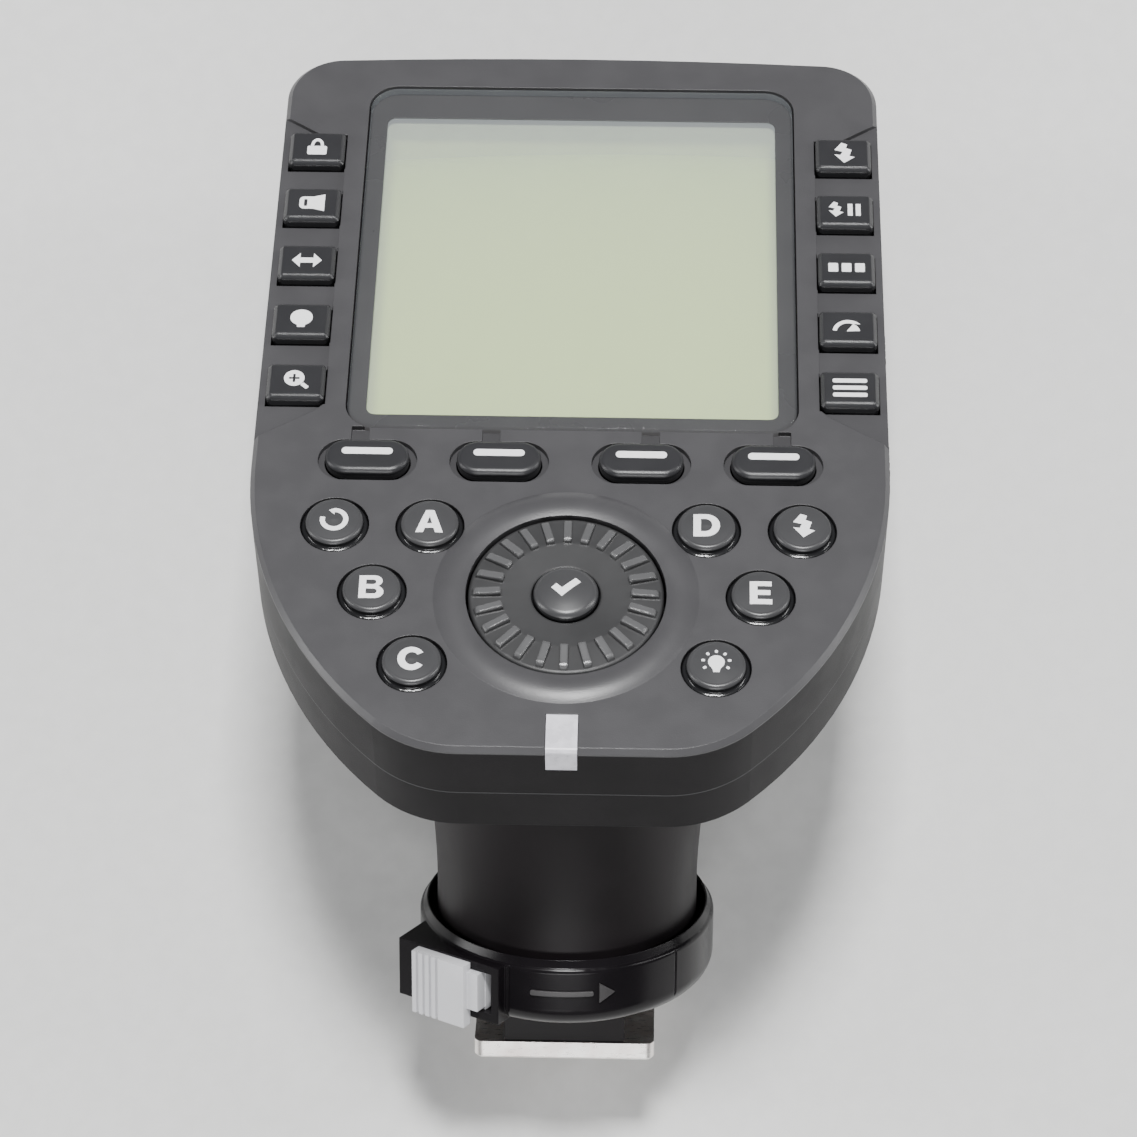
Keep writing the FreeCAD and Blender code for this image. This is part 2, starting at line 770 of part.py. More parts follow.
def backlight_tray():
    """A shallow tray behind the display, with a light guide's floor and four low walls."""
    body = new_body("backlight_tray")
    outside = new_sketch(body, "- tray_back")
    rectangle(outside, "- view_half_width - 1", "view_half_width + 1", "view_bottom - 1", "view_top - 0.1")
    pad(body, outside, "tray_back - screen_back - 0.05")
    window = new_sketch(body, "- screen_back - 0.05")
    rectangle(window, "- view_half_width", "view_half_width", "view_bottom", "view_top - 1")
    pocket(body, window, 0.6)
    keep(body, "backlight_tray")


def display_ribbon():
    """The flexible strip that joins the display to the main board."""
    strip = block(
        "display_ribbon",
        (-9.0, 20.35, "- board_front + 0.02"),
        (9.0, 20.7, "- screen_front - 0.4"),
    )
    keep(strip, "display_ribbon", FACE.multiply(strip.Placement))


# ---------------------------------------------------------------- boards and what they carry


def board_notches(sketch, radius):
    for x, y in BOSSES:
        circle(sketch, x, y, radius)


def main_board():
    body = new_body("main_board")
    sketch = new_sketch(body, "- board_back")
    front_outline(sketch, size("board_inset"))
    pad(body, sketch, "board_back - board_front")
    notches = new_sketch(body, "- board_front")
    board_notches(notches, 3.0)
    pocket(body, notches, 2.0)
    keep(body, "main_board")


def key_mat():
    """The rubber mat under the keys: one field around the dial and a strip up each side."""
    body = new_body("key_mat")
    front = "- stem_foot - key_travel - 0.1"
    sketch = new_sketch(body, front)
    front_outline(sketch, size("mat_inset"))
    pad(body, sketch, "board_front - stem_foot - key_travel - 0.15", down=True)
    screen = new_sketch(body, front)
    rectangle(screen, -23.0, 23.0, 20.1, 80.0)
    pocket(body, screen, 2.0)
    top = new_sketch(body, front)
    rectangle(top, -32.0, 32.0, 63.0, 80.0)
    pocket(body, top, 2.0)
    sides = new_sketch(body, front)
    for side in (1, -1):
        rectangle(sides, min(side * 25.6, side * 32.0), max(side * 25.6, side * 32.0), 17.6, 80.0)
    pocket(body, sides, 2.0)
    encoder = new_sketch(body, front)
    circle(encoder, 0.0, 0.0, "encoder_radius + 0.4")
    pocket(body, encoder, 2.0)
    lamp = new_sketch(body, front)
    rectangle(lamp, -2.1, 2.1, -20.0, "chin + 4.7")
    pocket(body, lamp, 2.0)
    bosses = new_sketch(body, front)
    for x, y in BOSSES[2:]:
        circle(bosses, x, y, "boss_radius + 0.4")
    pocket(body, bosses, 2.0)
    keep(body, "key_mat")


def board_parts():
    back = -size("board_back")
    chip = block("processor", (-12.0, 8.0, back - 1.2), (-4.0, 16.0, back))
    keep(chip, "processor", FACE.multiply(chip.Placement))
    can = block("radio_module", (-9.0, 64.6, back - 2.0), (9.0, 70.4, back))
    keep(can, "radio_module", FACE.multiply(can.Placement))
    buzzer = without(
        "buzzer",
        rod("buzzer_can", (12.0, 24.0, back), (0, 0, -1), 4.2, 2.6),
        [rod("buzzer_hole", (12.0, 24.0, back - 2.0), (0, 0, -1), 0.8, 1.0)],
    )
    keep(buzzer, "buzzer")
    led = block("status_led", (-0.8, -15.1, "- board_front"), (0.8, -14.3, "- board_front + 0.7"))
    keep(led, "status_led", FACE.multiply(led.Placement))
    lamp = joined(
        "focus_assist_led",
        [
            rod("assist_led_body", (0, 66.0, -18.0), (0, 1, 0), 2.5, 2.6),
            rod("assist_led_flange", (0, 65.2, -18.0), (0, 1, 0), 2.9, 0.9),
        ],
    )
    keep(lamp, "focus_assist_led")


def status_light_pipe():
    """A clear piece that shows on the face and wraps down over the chin."""
    body = new_body("status_light_pipe")
    sketch = new_sketch(body, plane="YZ_Plane")
    chin = size("chin")
    profile(
        sketch,
        (chin + 4.3, 0.0),
        (chin + 0.5, 0.0),
        (chin + 0.15, -0.15, chin, -0.5),
        (chin, -3.0),
        (chin + 1.3, -3.0),
        (chin + 1.3, -1.7),
        (chin + 3.1, -1.7),
        (chin + 3.1, -5.9),
        (chin + 4.3, -5.9),
    )
    feature = pad(body, sketch, 3.0)
    feature.Midplane = True
    keep(body, "status_light_pipe")


# ---------------------------------------------------------------- keys


def round_key(name, x, y):
    """A domed key on a flared base, with a flange under the face and a stem down to the key mat."""
    stem = size("stem_radius")
    flange = size("round_flange")
    base = size("round_base")
    cap = size("round_cap")
    top = size("round_top")
    front = -size("flange_front")
    back = -size("flange_back")
    body = turned_body(
        name,
        (0, -size("stem_foot")),
        (stem, -size("stem_foot")),
        (stem, back),
        (flange, back),
        (flange, front),
        (base, front),
        (base, -0.35),
        (base - 0.1, -0.2, base - 0.25, -0.15),
        (cap + 0.05, -0.05, cap, 0.1),
        (cap, top - 0.5),
        (cap - 0.12, top - 0.25, cap - 0.5, top - 0.13),
        dome(cap - 0.5, top - 0.13, top),
    )
    keep(body, name, FACE.multiply(shifted(x, y)))


def side_key(name, side, y):
    """A bevelled block whose flange and stem lie towards the middle of the case."""
    body = new_body(name)
    half_x = size("side_key_width") / 2
    half_y = size("side_key_height") / 2
    cap = new_sketch(body, "- flange_back")
    rounded_rectangle(cap, -half_x, half_x, -half_y, half_y, 0.6)
    pad(body, cap, "flange_back + side_key_rise")
    soften(body, "Chamfer", 0.42, flat_at(size("side_key_rise")))
    inner = -side * (half_x + 0.6)
    outer = side * (half_x - 1.4)
    flange = new_sketch(body, "- flange_back")
    rectangle(flange, min(inner, outer), max(inner, outer), -half_y - 0.5, half_y + 0.5)
    pad(body, flange, "flange_back - flange_front")
    stem = new_sketch(body, "- flange_back")
    stem_x = -side * (half_x + 0.6 - 0.8)
    rectangle(stem, stem_x - 0.75, stem_x + 0.75, -1.0, 1.0)
    pad(body, stem, "stem_foot - flange_back", down=True)
    keep(body, name, FACE.multiply(shifted(side * size("side_key_x"), y)))


def soft_key(name, x):
    """A pill-shaped key under the display."""
    body = new_body(name)
    length = size("soft_key_length")
    height = size("soft_key_height")
    cap = new_sketch(body, "- flange_back")
    pill(cap, 0, 0, length, height)
    pad(body, cap, "flange_back + 0.85")
    soften(body, "Fillet", 0.5, flat_at(0.85))
    flange = new_sketch(body, "- flange_back")
    pill(flange, 0, 0, length + 1.2, height + 1.0)
    pad(body, flange, "flange_back - flange_front")
    stem = new_sketch(body, "- flange_back")
    circle(stem, 0.0, 0.0, "stem_radius")
    pad(body, stem, "stem_foot - flange_back", down=True)
    keep(body, name, FACE.multiply(shifted(x, size("soft_key_y"))))


def all_keys():
    for name, (x, y) in ROUND_KEYS.items():
        round_key(name, x, y)
    for side, word in ((-1, "left"), (1, "right")):
        for row, y in enumerate(SIDE_KEY_ROWS, start=1):
            side_key(f"{word}_key_{row}", side, y)
    for column, x in enumerate(SOFT_KEY_COLUMNS, start=1):
        soft_key(f"soft_key_{column}", x)


# ---------------------------------------------------------------- dial


def select_dial():
    """A nearly flat ring with low ribs near its rim, and a sleeve that turns in the encoder."""
    outer = size("dial_radius")
    bore = size("dial_bore")
    sleeve = size("sleeve_radius")
    inner = size("rib_inner")
    body = turned_body(
        "select_dial",
        (bore, -1.0),
        (bore, -0.05),
        (bore + 0.05, 0.02, bore + 0.15, 0.05),
        (inner, 0.22),
        (outer - 0.45, 0.1),
        (outer - 0.12, 0.0, outer, -0.3),
        (outer, -3.3),
        (sleeve, -3.3),
        (sleeve, -6.2),
        (4.3, -6.2),
        (4.3, -1.0),
    )
    rib = new_sketch(body, plane="XZ_Plane")
    rise = size("rib_rise")
    profile(
        rib,
        (inner, -0.2),
        (inner, rise - 0.25),
        (inner + 0.07, rise - 0.07, inner + 0.25, rise),
        (outer - 1.1, rise - 0.2),
        (outer - 0.55, rise - 0.38, outer - 0.4, -0.2),
    )
    bar = pad(body, rib, "rib_width")
    bar.Midplane = True
    document.recompute()
    pattern = body.newObject("PartDesign::PolarPattern", "select_dial_ribs")
    pattern.Originals = [bar]
    pattern.Axis = (rib, ["V_Axis"])
    pattern.Angle = 360
    pattern.setExpression("Occurrences", "Sizes.rib_count")
    body.Tip = pattern
    keep(body, "select_dial")


def centre_key():
    radius = size("centre_key")
    body = turned_body(
        "centre_key",
        (0, -size("stem_foot")),
        (1.8, -size("stem_foot")),
        (1.8, -2.0),
        (4.15, -2.0),
        (4.15, -1.1),
        (radius, -1.1),
        (radius, 0.15),
        (radius - 0.25, 0.62, radius - 0.7, 0.85),
        dome(radius - 0.7, 0.85, 1.15),
    )
    keep(body, "centre_key")


def dial_encoder():
    body = turned_body(
        "dial_encoder",
        (size("encoder_bore"), -size("board_front") + 0.05),
        (size("encoder_radius"), -size("board_front") + 0.05),
        (size("encoder_radius"), -4.0),
        (size("encoder_bore"), -4.0),
    )
    keep(body, "dial_encoder")


# ---------------------------------------------------------------- power


def cell(name, y, toward):
    """An AA cell lying across the case, its terminal towards +X or -X."""
    radius = size("cell_radius")
    length = size("cell_length")
    body = turned_body(
        name,
        (0, 0),
        (radius - 0.6, 0),
        (radius - 0.18, 0.18, radius, 0.6),
        (radius, length - 2.1),
        (radius - 0.25, length - 1.55, radius - 0.8, length - 1.3),
        (2.75, length - 1.3),
        (2.75, length),
        (0, length),
    )
    start = Vector(toward * (size("bay_half_length") - 0.4 - length), y, -size("cell_depth"))
    keep(body, name, FACE.multiply(Placement(start, Rotation(Z_AXIS, Vector(toward, 0, 0)))))


def battery_contacts():
    """Four thin plates on the ends of the bay."""
    end = size("bay_half_length")
    plates = []
    for row, y in (("upper", size("cell_upper")), ("lower", size("cell_lower"))):
        for side in (1, -1):
            x0, x1 = sorted((side * end, side * (end - 0.35)))
            low = (x0, y - 5.0, "- cell_depth - 5")
            high = (x1, y + 5.0, "- cell_depth + 5")
            plates.append(block(f"contact_{row}_{side + 1}", low, high))
    keep(grouped("contact_plates", plates), "battery_contacts")


def coil_shape(start_radius, end_radius, length, turns, wire):
    """A conical coil spring about Z, from the origin up to the given length."""
    points = []
    steps = int(16 * turns)
    for step in range(steps + 1):
        part = step / steps
        angle = 2 * math.pi * turns * part
        radius = start_radius + (end_radius - start_radius) * part
        height = wire + (length - 2 * wire) * part
        points.append(Vector(radius * math.cos(angle), radius * math.sin(angle), height))
    path = Part.BSplineCurve()
    path.interpolate(points)
    spine = Part.Wire(path.toShape())
    ring = Part.Circle(points[0], path.tangent(0.0)[0], wire)
    section = Part.Wire(ring.toShape())
    return spine.makePipeShell([section], True, True)


def battery_springs():
    """The two coil springs that press on the cells' flat ends."""
    room = 2 * size("bay_half_length") - size("cell_length") - 0.35 - 0.4
    springs = []
    for side, y in ((-1, size("cell_upper")), (1, size("cell_lower"))):
        spring = coil_shape(4.2, 2.4, room - 0.06, 3, 0.35)
        base = Vector(side * (size("bay_half_length") - 0.38), y, -size("cell_depth"))
        spring.Placement = Placement(base, Rotation(Z_AXIS, Vector(-side, 0, 0)))
        springs.append(spring)
    feature = document.addObject("Part::Feature", "coil_pair")
    feature.Shape = Part.makeCompound(springs)
    keep(feature, "battery_springs")


# ---------------------------------------------------------------- sockets and switches


def usb_socket():
    """A metal shell with a tongue inside, open towards +X."""
    wall = size("half_width")
    y = size("usb_y")
    body = new_body("usb_socket")
    mouth = wall - 0.8
    shell = new_sketch(body, mouth, plane="YZ_Plane")
    pill(shell, y, -9.65, 9.0, 3.2)
    pad(body, shell, 6.0, down=True)
    space = new_sketch(body, mouth, plane="YZ_Plane")
    pill(space, y, -9.65, 8.4, 2.6)
    pocket(body, space, 5.2)
    tongue = new_sketch(body, mouth - 5.6, plane="YZ_Plane")
    rectangle(tongue, y - 3.3, y + 3.3, -10.0, -9.3)
    pad(body, tongue, 4.9)
    keep(body, "usb_socket")


def sync_socket():
    """A 2.5 mm socket: a moulded block with a round nose and a plain bore."""
    wall = size("half_width")
    y = size("jack_y")
    depth = -size("jack_depth")
    body = block("sync_block", (wall - 13.0, y - 2.9, depth - 2.1), (wall - 2.0, y + 2.9, depth + 2.1))
    nose = rod("sync_nose", (wall - 2.5, y, depth), (1, 0, 0), 2.1, 1.7)
    bore = rod("sync_bore", (wall - 12.0, y, depth), (1, 0, 0), "jack_bore", 14.0)
    keep(without("sync_cut", joined("sync_solid", [body, nose]), [bore]), "sync_socket")


def socket_cover():
    """The rubber flap over both sockets, with ribs along its outer face."""
    outside = size("half_width") + size("flap_proud")
    plate = block(
        "flap_plate",
        (outside - size("flap_thickness"), "flap_bottom", "- flap_back"),
        (outside, "flap_top", "- flap_front"),
    )
    rounded = document.addObject("Part::Fillet", "flap_rounded")
    rounded.Base = plate
    document.recompute()
    long_edges = []
    for number, edge in enumerate(plate.Shape.Edges, start=1):
        box = edge.BoundBox
        if box.XMin > outside - 1e-3 and box.YLength < 1e-3:
            long_edges.append((number, 0.35, 0.35))
    rounded.Edges = long_edges
    keep(rounded, "socket_cover")


def side_switch(name, label):
    """A small ribbed knob that slides along the case, with a plate inside that keeps it in."""
    wall = size("half_width")
    y = size("switch_y_" + name)
    knob = block(
        name + "_knob",
        (wall - 1.9, y - 2.9, "- switch_depth - 1"),
        (wall + 0.75, y + 0.9, "- switch_depth + 1"),
    )
    plate = block(
        name + "_plate",
        (wall - 2.6, y - 4.6, "- switch_depth - 1.6"),
        (wall - 1.85, y + 2.6, "- switch_depth + 1.6"),
    )
    grooves = [
        block(
            f"{name}_groove_{n}",
            (wall + 0.35, y - 2.2 + n, "- switch_depth - 2"),
            (wall + 1.0, y - 1.8 + n, "- switch_depth + 2"),
        )
        for n in range(3)
    ]
    keep(without(name + "_cut", joined(name + "_solid", [knob, plate]), grooves), label)


def switch_bodies():
    """The slide switches on the main board that the two knobs move."""
    wall = size("half_width")
    bodies = [
        block(
            "switch_body_" + name,
            (wall - 7.6, f"switch_y_{name} - 3.0", "- board_back - 3.6"),
            (wall - 2.75, f"switch_y_{name} + 3.0", "- board_back - 0.05"),
        )
        for name in ("power", "assist")
    ]
    keep(grouped("switch_pair", bodies), "switch_bodies")


# ---------------------------------------------------------------- screws


def case_screws():
    """Four identical screws, driven from the back."""
    seat = -size("screw_seat")
    screws = []
    for number, (x, y) in enumerate(BOSSES):
        head = rod(f"screw_head_{number}", (x, y, seat - 1.4), (0, 0, 1), 1.7, 1.4)
        shank = rod(f"screw_shank_{number}", (x, y, seat - 0.2), (0, 0, 1), "screw_radius", 8.6)
        low = (x - 1.2, y - 0.2, seat - 2.0)
        high = (x + 1.2, y + 0.2, seat - 0.9)
        slot = block(f"screw_slot_{number}", low, high)
        solid = joined(f"screw_solid_{number}", [head, shank])
        screws.append(without(f"screw_{number}", solid, [slot]))
    keep(grouped("screw_set", screws), "case_screws")


# ---------------------------------------------------------------- neck, lock ring and shoe


def neck():
    """The flared tube that carries the case on its foot."""
    low = size("neck_radius")
    root = size("neck_root")
    wall = size("neck_wall")
    top = size("neck_top")
    body = turned_body(
        "neck",
        (low - wall, 8.1),
        (low, 8.1),
        (low, 13.0),
        (low + 0.35, 22.0, root, 31.0),
        (root, top),
        (root - wall, top),
        (root - wall, 31.0),
        (low + 0.35 - wall, 22.0, low - wall, 13.0),
    )
    keep(body, "neck", FOOT)


def foot_block():
    """The plastic foot: a block between the rails, a hub for the lock ring and a plug in the neck."""
    half = size("block_half_width")
    rails = block("foot_rails", (-half, -8.7, 0.0), (half, 8.7, 4.8))
    boss = block("foot_boss", (-5.0, -4.6, "- plate_thickness + 0.15"), (5.0, 4.6, 0.5))
    hub = rod("foot_hub", (0, 0, 4.7), (0, 0, 1), "hub_radius", 3.4)
    plug = rod("foot_plug", (0, 0, 8.05), (0, 0, 1), "neck_radius - neck_wall - 0.02", 5.0)
    pin_y = size("pin_y")
    pin_hole = rod("foot_pin_hole", (0, pin_y, -3.0), (0, 0, 1), "pin_radius + 0.05", 8.0)
    pin_space = rod("foot_pin_space", (0, pin_y, 4.2), (0, 0, 1), 2.2, 6.0)
    holes = [pin_hole, pin_space]
    holes += contact_rods("contact_hole", 0.05, -3.0, 7.0)
    holes += contact_rods("contact_space", 0.35, 3.35, 5.0)
    holes.append(rod("foot_wire_way", (0, -0.6, 4.0), (0, 0, 1), 4.0, 20.0))
    holes += foot_screw_rods("foot_tap", 0.98, 4.0, -1.0)
    cut = without("foot_cut", joined("foot_solid", [rails, boss, hub, plug]), holes)
    keep(cut, "foot_block", FOOT)


CONTACTS = {"centre": (0.0, 0.0, 1.1), "b": (3.2, 1.6, 0.6), "c": (3.2, -2.6, 0.6)}
CONTACTS.update({"d": (-3.2, 1.6, 0.6), "e": (-3.2, -2.6, 0.6)})
FOOT_SCREWS = [(x, y) for x in (-4.4, 4.4) for y in (-6.7, 6.7)]


def contact_rods(name, gap, start, length):
    """One rod along each hot-shoe contact, grown by a gap."""
    return [
        rod(f"{name}_{label}", (x, y, start), (0, 0, 1), radius + gap, length)
        for label, (x, y, radius) in CONTACTS.items()
    ]


def foot_screw_rods(name, radius, length, start):
    return [
        rod(f"{name}_{number}", (x, y, start), (0, 0, 1), radius, length)
        for number, (x, y) in enumerate(FOOT_SCREWS)
    ]


def shoe_contacts():
    """Five spring contacts that stand a little out of the foot's underside."""
    pins = []
    for label, (x, y, radius) in CONTACTS.items():
        start = -size("plate_thickness") - 0.35
        shaft = rod(f"contact_pin_{label}", (x, y, start), (0, 0, 1), radius, 6.2)
        collar = rod(f"contact_collar_{label}", (x, y, 3.4), (0, 0, 1), radius + 0.25, 0.4)
        pins.append(joined(f"contact_{label}", [shaft, collar]))
    keep(grouped("contact_set", pins), "shoe_contacts", FOOT)


def shoe_plate():
    """The metal plate that slides into a camera's accessory shoe."""
    body = new_body("shoe_plate")
    half_x = size("plate_width") / 2
    half_y = size("plate_depth") / 2
    sketch = new_sketch(body)
    rounded_rectangle(sketch, -half_x, half_x, -half_y, half_y, 0.9)
    pad(body, sketch, "plate_thickness", down=True)
    soften(body, "Chamfer", 0.3, flat_at(-size("plate_thickness")))
    window = new_sketch(body)
    rectangle(window, -5.05, 5.05, -4.65, 4.65)
    pocket(body, window, 3.0)
    pin = new_sketch(body)
    circle(pin, 0.0, "pin_y", "pin_radius + 0.05")
    for x, y in FOOT_SCREWS:
        circle(pin, x, y, 1.05)
    pocket(body, pin, 3.0)
    sinks = new_sketch(body, "- plate_thickness")
    for x, y in FOOT_SCREWS:
        circle(sinks, x, y, 1.55)
    pocket(body, sinks, 0.9, up=True)
    keep(body, "shoe_plate", FOOT)


def shoe_screws():
    """Four identical screws that hold the plate to the foot."""
    screws = []
    for number, (x, y) in enumerate(FOOT_SCREWS):
        bottom = -size("plate_thickness") + 0.1
        head = rod(f"shoe_head_{number}", (x, y, bottom), (0, 0, 1), 1.5, 0.75)
        shank = rod(f"shoe_shank_{number}", (x, y, bottom + 0.5), (0, 0, 1), 0.95, 4.0)
        low = (x - 1.1, y - 0.18, bottom - 0.5)
        high = (x + 1.1, y + 0.18, bottom + 0.35)
        slot = block(f"shoe_slot_{number}", low, high)
        solid = joined(f"shoe_screw_solid_{number}", [head, shank])
        screws.append(without(f"shoe_screw_{number}", solid, [slot]))
    keep(grouped("shoe_screw_set", screws), "shoe_screws", FOOT)


def lock_pin():
    """The pin that drops into a camera's shoe when the ring is turned."""
    y = size("pin_y")
    top = -size("plate_thickness") + 0.05
    pin = rod("pin_shaft", (0, y, top), (0, 0, 1), "pin_radius", 8.4)
    collar = rod("pin_collar", (0, y, 6.4), (0, 0, 1), 1.9, 1.0)
    keep(joined("pin_solid", [pin, collar]), "lock_pin", FOOT)


def lock_ring():
    """The ring around the foot: a wall, an inner web that turns on the hub, and the catch's housing."""
    outer = size("ring_outer")
    inner = size("ring_inner")
    bottom = size("ring_bottom")
    web = size("web_top")
    top = size("ring_top")
    turned = turned_body(
        "ring_wall",
        (size("ring_bore"), bottom),
        (13.1, bottom),
        (outer - 0.65, bottom + 0.62, outer, bottom + 2.3),
        (outer, top - 1.2),
        (outer - 0.08, top - 0.95, outer - 0.3, top - 0.75),
        (inner + 0.3, top),
        (inner + 0.08, top - 0.08, inner, top - 0.3),
        (inner, web),
        (size("ring_bore"), web),
    )
    face = size("catch_face")
    housing = block("catch_housing", (-9.9, -face, bottom + 0.3), (2.4, -10.0, top - 0.9))
    bore = rod("catch_housing_bore", (0, 0, 0), (0, 0, 1), inner, 20.0)
    shaped = without("catch_housing_cut", housing, [bore])
    window = block(
        "catch_window",
        ("catch_left - 0.1", -face - 1.0, bottom + 1.25),
        ("catch_right + 1.35 + catch_travel", -15.55, top - 1.8),
    )
    pocket_space = block(
        "catch_pocket",
        (-9.1, -15.6, bottom + 1.0),
        ("catch_right + 1.4 + catch_travel", -13.3, top - 1.6),
    )
    lines = []
    for angle in (10.5, 80.0):
        turned_to = math.radians(angle)
        foot = (outer * math.sin(turned_to), -outer * math.cos(turned_to), bottom + 1.2)
        lines.append(rod(f"ring_line_{int(angle)}", foot, (0, 0, 1), 0.15, 10.0))
    solid = joined("ring_with_housing", [turned, shaped])
    keep(without("ring_cut", solid, [window, pocket_space] + lines), "lock_ring", CATCH)


def release_catch():
    """The pale ribbed slider that frees the ring, with its plate in the housing's pocket."""
    bottom = size("ring_bottom")
    top = size("ring_top")
    face = size("catch_face")
    front = -face - 1.3
    low = bottom + 1.35
    shank_top = top - 1.9
    knob = block(
        "catch_knob",
        ("catch_left", front, bottom - 0.5),
        ("catch_right", -face - 0.05, top - 1.1),
    )
    shank = block("catch_shank", ("catch_left", -face - 0.1, low), ("catch_right", -15.4, shank_top))
    tab = block(
        "catch_tab",
        ("catch_right - 0.1", front + 0.6, low + 0.15),
        ("catch_right + 1.3", -15.4, shank_top),
    )
    plate = block(
        "catch_plate",
        (-8.1, -15.5, bottom + 1.15),
        ("catch_right + 1.35", -14.5, top - 1.7),
    )
    grooves = [
        block(
            f"catch_groove_{n}",
            (-6.9 + 0.8 * n, front - 1.0, 0.0),
            (-6.6 + 0.8 * n, front + 0.35, 20.0),
        )
        for n in range(4)
    ]
    solid = joined("catch_solid", [knob, shank, tab, plate])
    keep(without("catch_cut", solid, grooves), "release_catch", CATCH)


# ---------------------------------------------------------------- build, check, settle and write


def build():
    front_cover()
    outer_shape = housing_solid()
    rear_housing(outer_shape)
    battery_door(outer_shape)
    focus_assist_window(outer_shape)
    display_window()
    display_panel()
    backlight_tray()
    display_ribbon()
    main_board()
    key_mat()
    board_parts()
    status_light_pipe()
    all_keys()
    select_dial()
    centre_key()
    dial_encoder()
    cell("upper_cell", size("cell_upper"), 1)
    cell("lower_cell", size("cell_lower"), -1)
    battery_contacts()
    battery_springs()
    usb_socket()
    sync_socket()
    socket_cover()
    side_switch("power", "power_switch")
    side_switch("assist", "focus_assist_switch")
    switch_bodies()
    case_screws()
    neck()
    foot_block()
    shoe_plate()
    shoe_contacts()
    shoe_screws()
    lock_pin()
    lock_ring()
    release_catch()


def check():
    """Stops if any object failed, or any sub-part's shape is missing or bad."""
    for thing in document.Objects:
        if "Invalid" in thing.State or "Error" in thing.State:
            raise ValueError(f"{thing.Name} is {thing.State}")
    bad = [thing.Label for thing in subparts if thing.Shape.isNull() or not thing.Shape.isValid()]
    if bad:
        raise ValueError(f"no valid shape: {bad}")


def settle():
    """Moves the whole object so that its box stands on the XY plane, centred on the origin."""
    box = FreeCAD.BoundBox()
    for thing in subparts:
        box.add(thing.Shape.optimalBoundingBox(False))
    move = Vector(-box.Center.x, -box.Center.y, -box.ZMin)
    for thing in subparts:
        thing.Placement.Base = thing.Placement.Base + move
    document.recompute()
    print("dial centre at", [round(v, 4) for v in move], "box", box)


def write():
    os.makedirs("parts", exist_ok=True)
    for thing in subparts:
        thing.Shape.exportStep(f"parts/{thing.Label}.step")
    print(len(subparts), "sub-parts written")


build()
document.recompute()
check()
settle()
check()
write()
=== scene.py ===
"""The looks of a wireless flash trigger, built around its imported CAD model. Metres throughout."""

import json
import math

import bmesh
import bpy
from mathutils import Matrix, Vector
from mathutils.bvhtree import BVHTree


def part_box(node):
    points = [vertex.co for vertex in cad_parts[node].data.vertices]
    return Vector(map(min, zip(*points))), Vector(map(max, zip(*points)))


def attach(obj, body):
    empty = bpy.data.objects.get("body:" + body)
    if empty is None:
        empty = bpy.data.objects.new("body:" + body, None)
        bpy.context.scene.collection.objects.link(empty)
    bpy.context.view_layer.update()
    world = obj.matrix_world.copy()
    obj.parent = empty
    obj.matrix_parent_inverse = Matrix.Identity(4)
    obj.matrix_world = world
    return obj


MM = 0.001

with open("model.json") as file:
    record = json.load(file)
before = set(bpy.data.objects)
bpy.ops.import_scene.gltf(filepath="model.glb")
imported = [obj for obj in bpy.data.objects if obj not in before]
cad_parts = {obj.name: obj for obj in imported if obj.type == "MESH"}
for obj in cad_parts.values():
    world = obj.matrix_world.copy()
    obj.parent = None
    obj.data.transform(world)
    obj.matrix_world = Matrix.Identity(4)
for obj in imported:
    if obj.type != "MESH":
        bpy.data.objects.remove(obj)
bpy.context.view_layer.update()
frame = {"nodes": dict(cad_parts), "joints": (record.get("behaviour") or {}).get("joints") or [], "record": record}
joints = {joint["name"]: joint for joint in frame["joints"]}
body_of_node = {
    node: body for body, nodes in frame["record"]["behaviour"]["bodies"].items() for node in nodes
}


# ---------------------------------------------------------------- places


def axes(origin, z_axis, x_axis):
    """The matrix of a right-handed frame with that Z axis, and X as near x_axis as it can be."""
    z = Vector(z_axis).normalized()
    y = z.cross(Vector(x_axis)).normalized()
    x = y.cross(z)
    matrix = Matrix((x, y, z)).transposed().to_4x4()
    matrix.translation = Vector(origin)
    return matrix


# the face frame has its origin at the dial's centre, X to the right, Y up the face and Z out of it
FACE = axes(joints["dial_turn"]["pos_m"], joints["dial_turn"]["axis"], (1, 0, 0))
# the ring frame is on the neck's axis, with -Y to the front and Z up to the case
RING = axes(joints["ring_turn"]["pos_m"], joints["ring_turn"]["axis"], (1, 0, 0))


def span(node, matrix):
    """The lowest and highest corner of a CAD node in a frame, in that frame's axes."""
    inverse = matrix.inverted()
    points = [inverse @ vertex.co for vertex in frame["nodes"][node].data.vertices]
    low = Vector([min(p[axis] for p in points) for axis in range(3)])
    high = Vector([max(p[axis] for p in points) for axis in range(3)])
    return low, high


def middle(node):
    """The middle of a CAD node's box in the face frame."""
    low, high = span(node, FACE)
    return (low + high) / 2


def surface(node):
    """A search tree of a CAD node's surface."""
    mesh = frame["nodes"][node].data
    corners = [vertex.co for vertex in mesh.vertices]
    faces = [tuple(polygon.vertices) for polygon in mesh.polygons]
    return BVHTree.FromPolygons(corners, faces)


# ---------------------------------------------------------------- materials


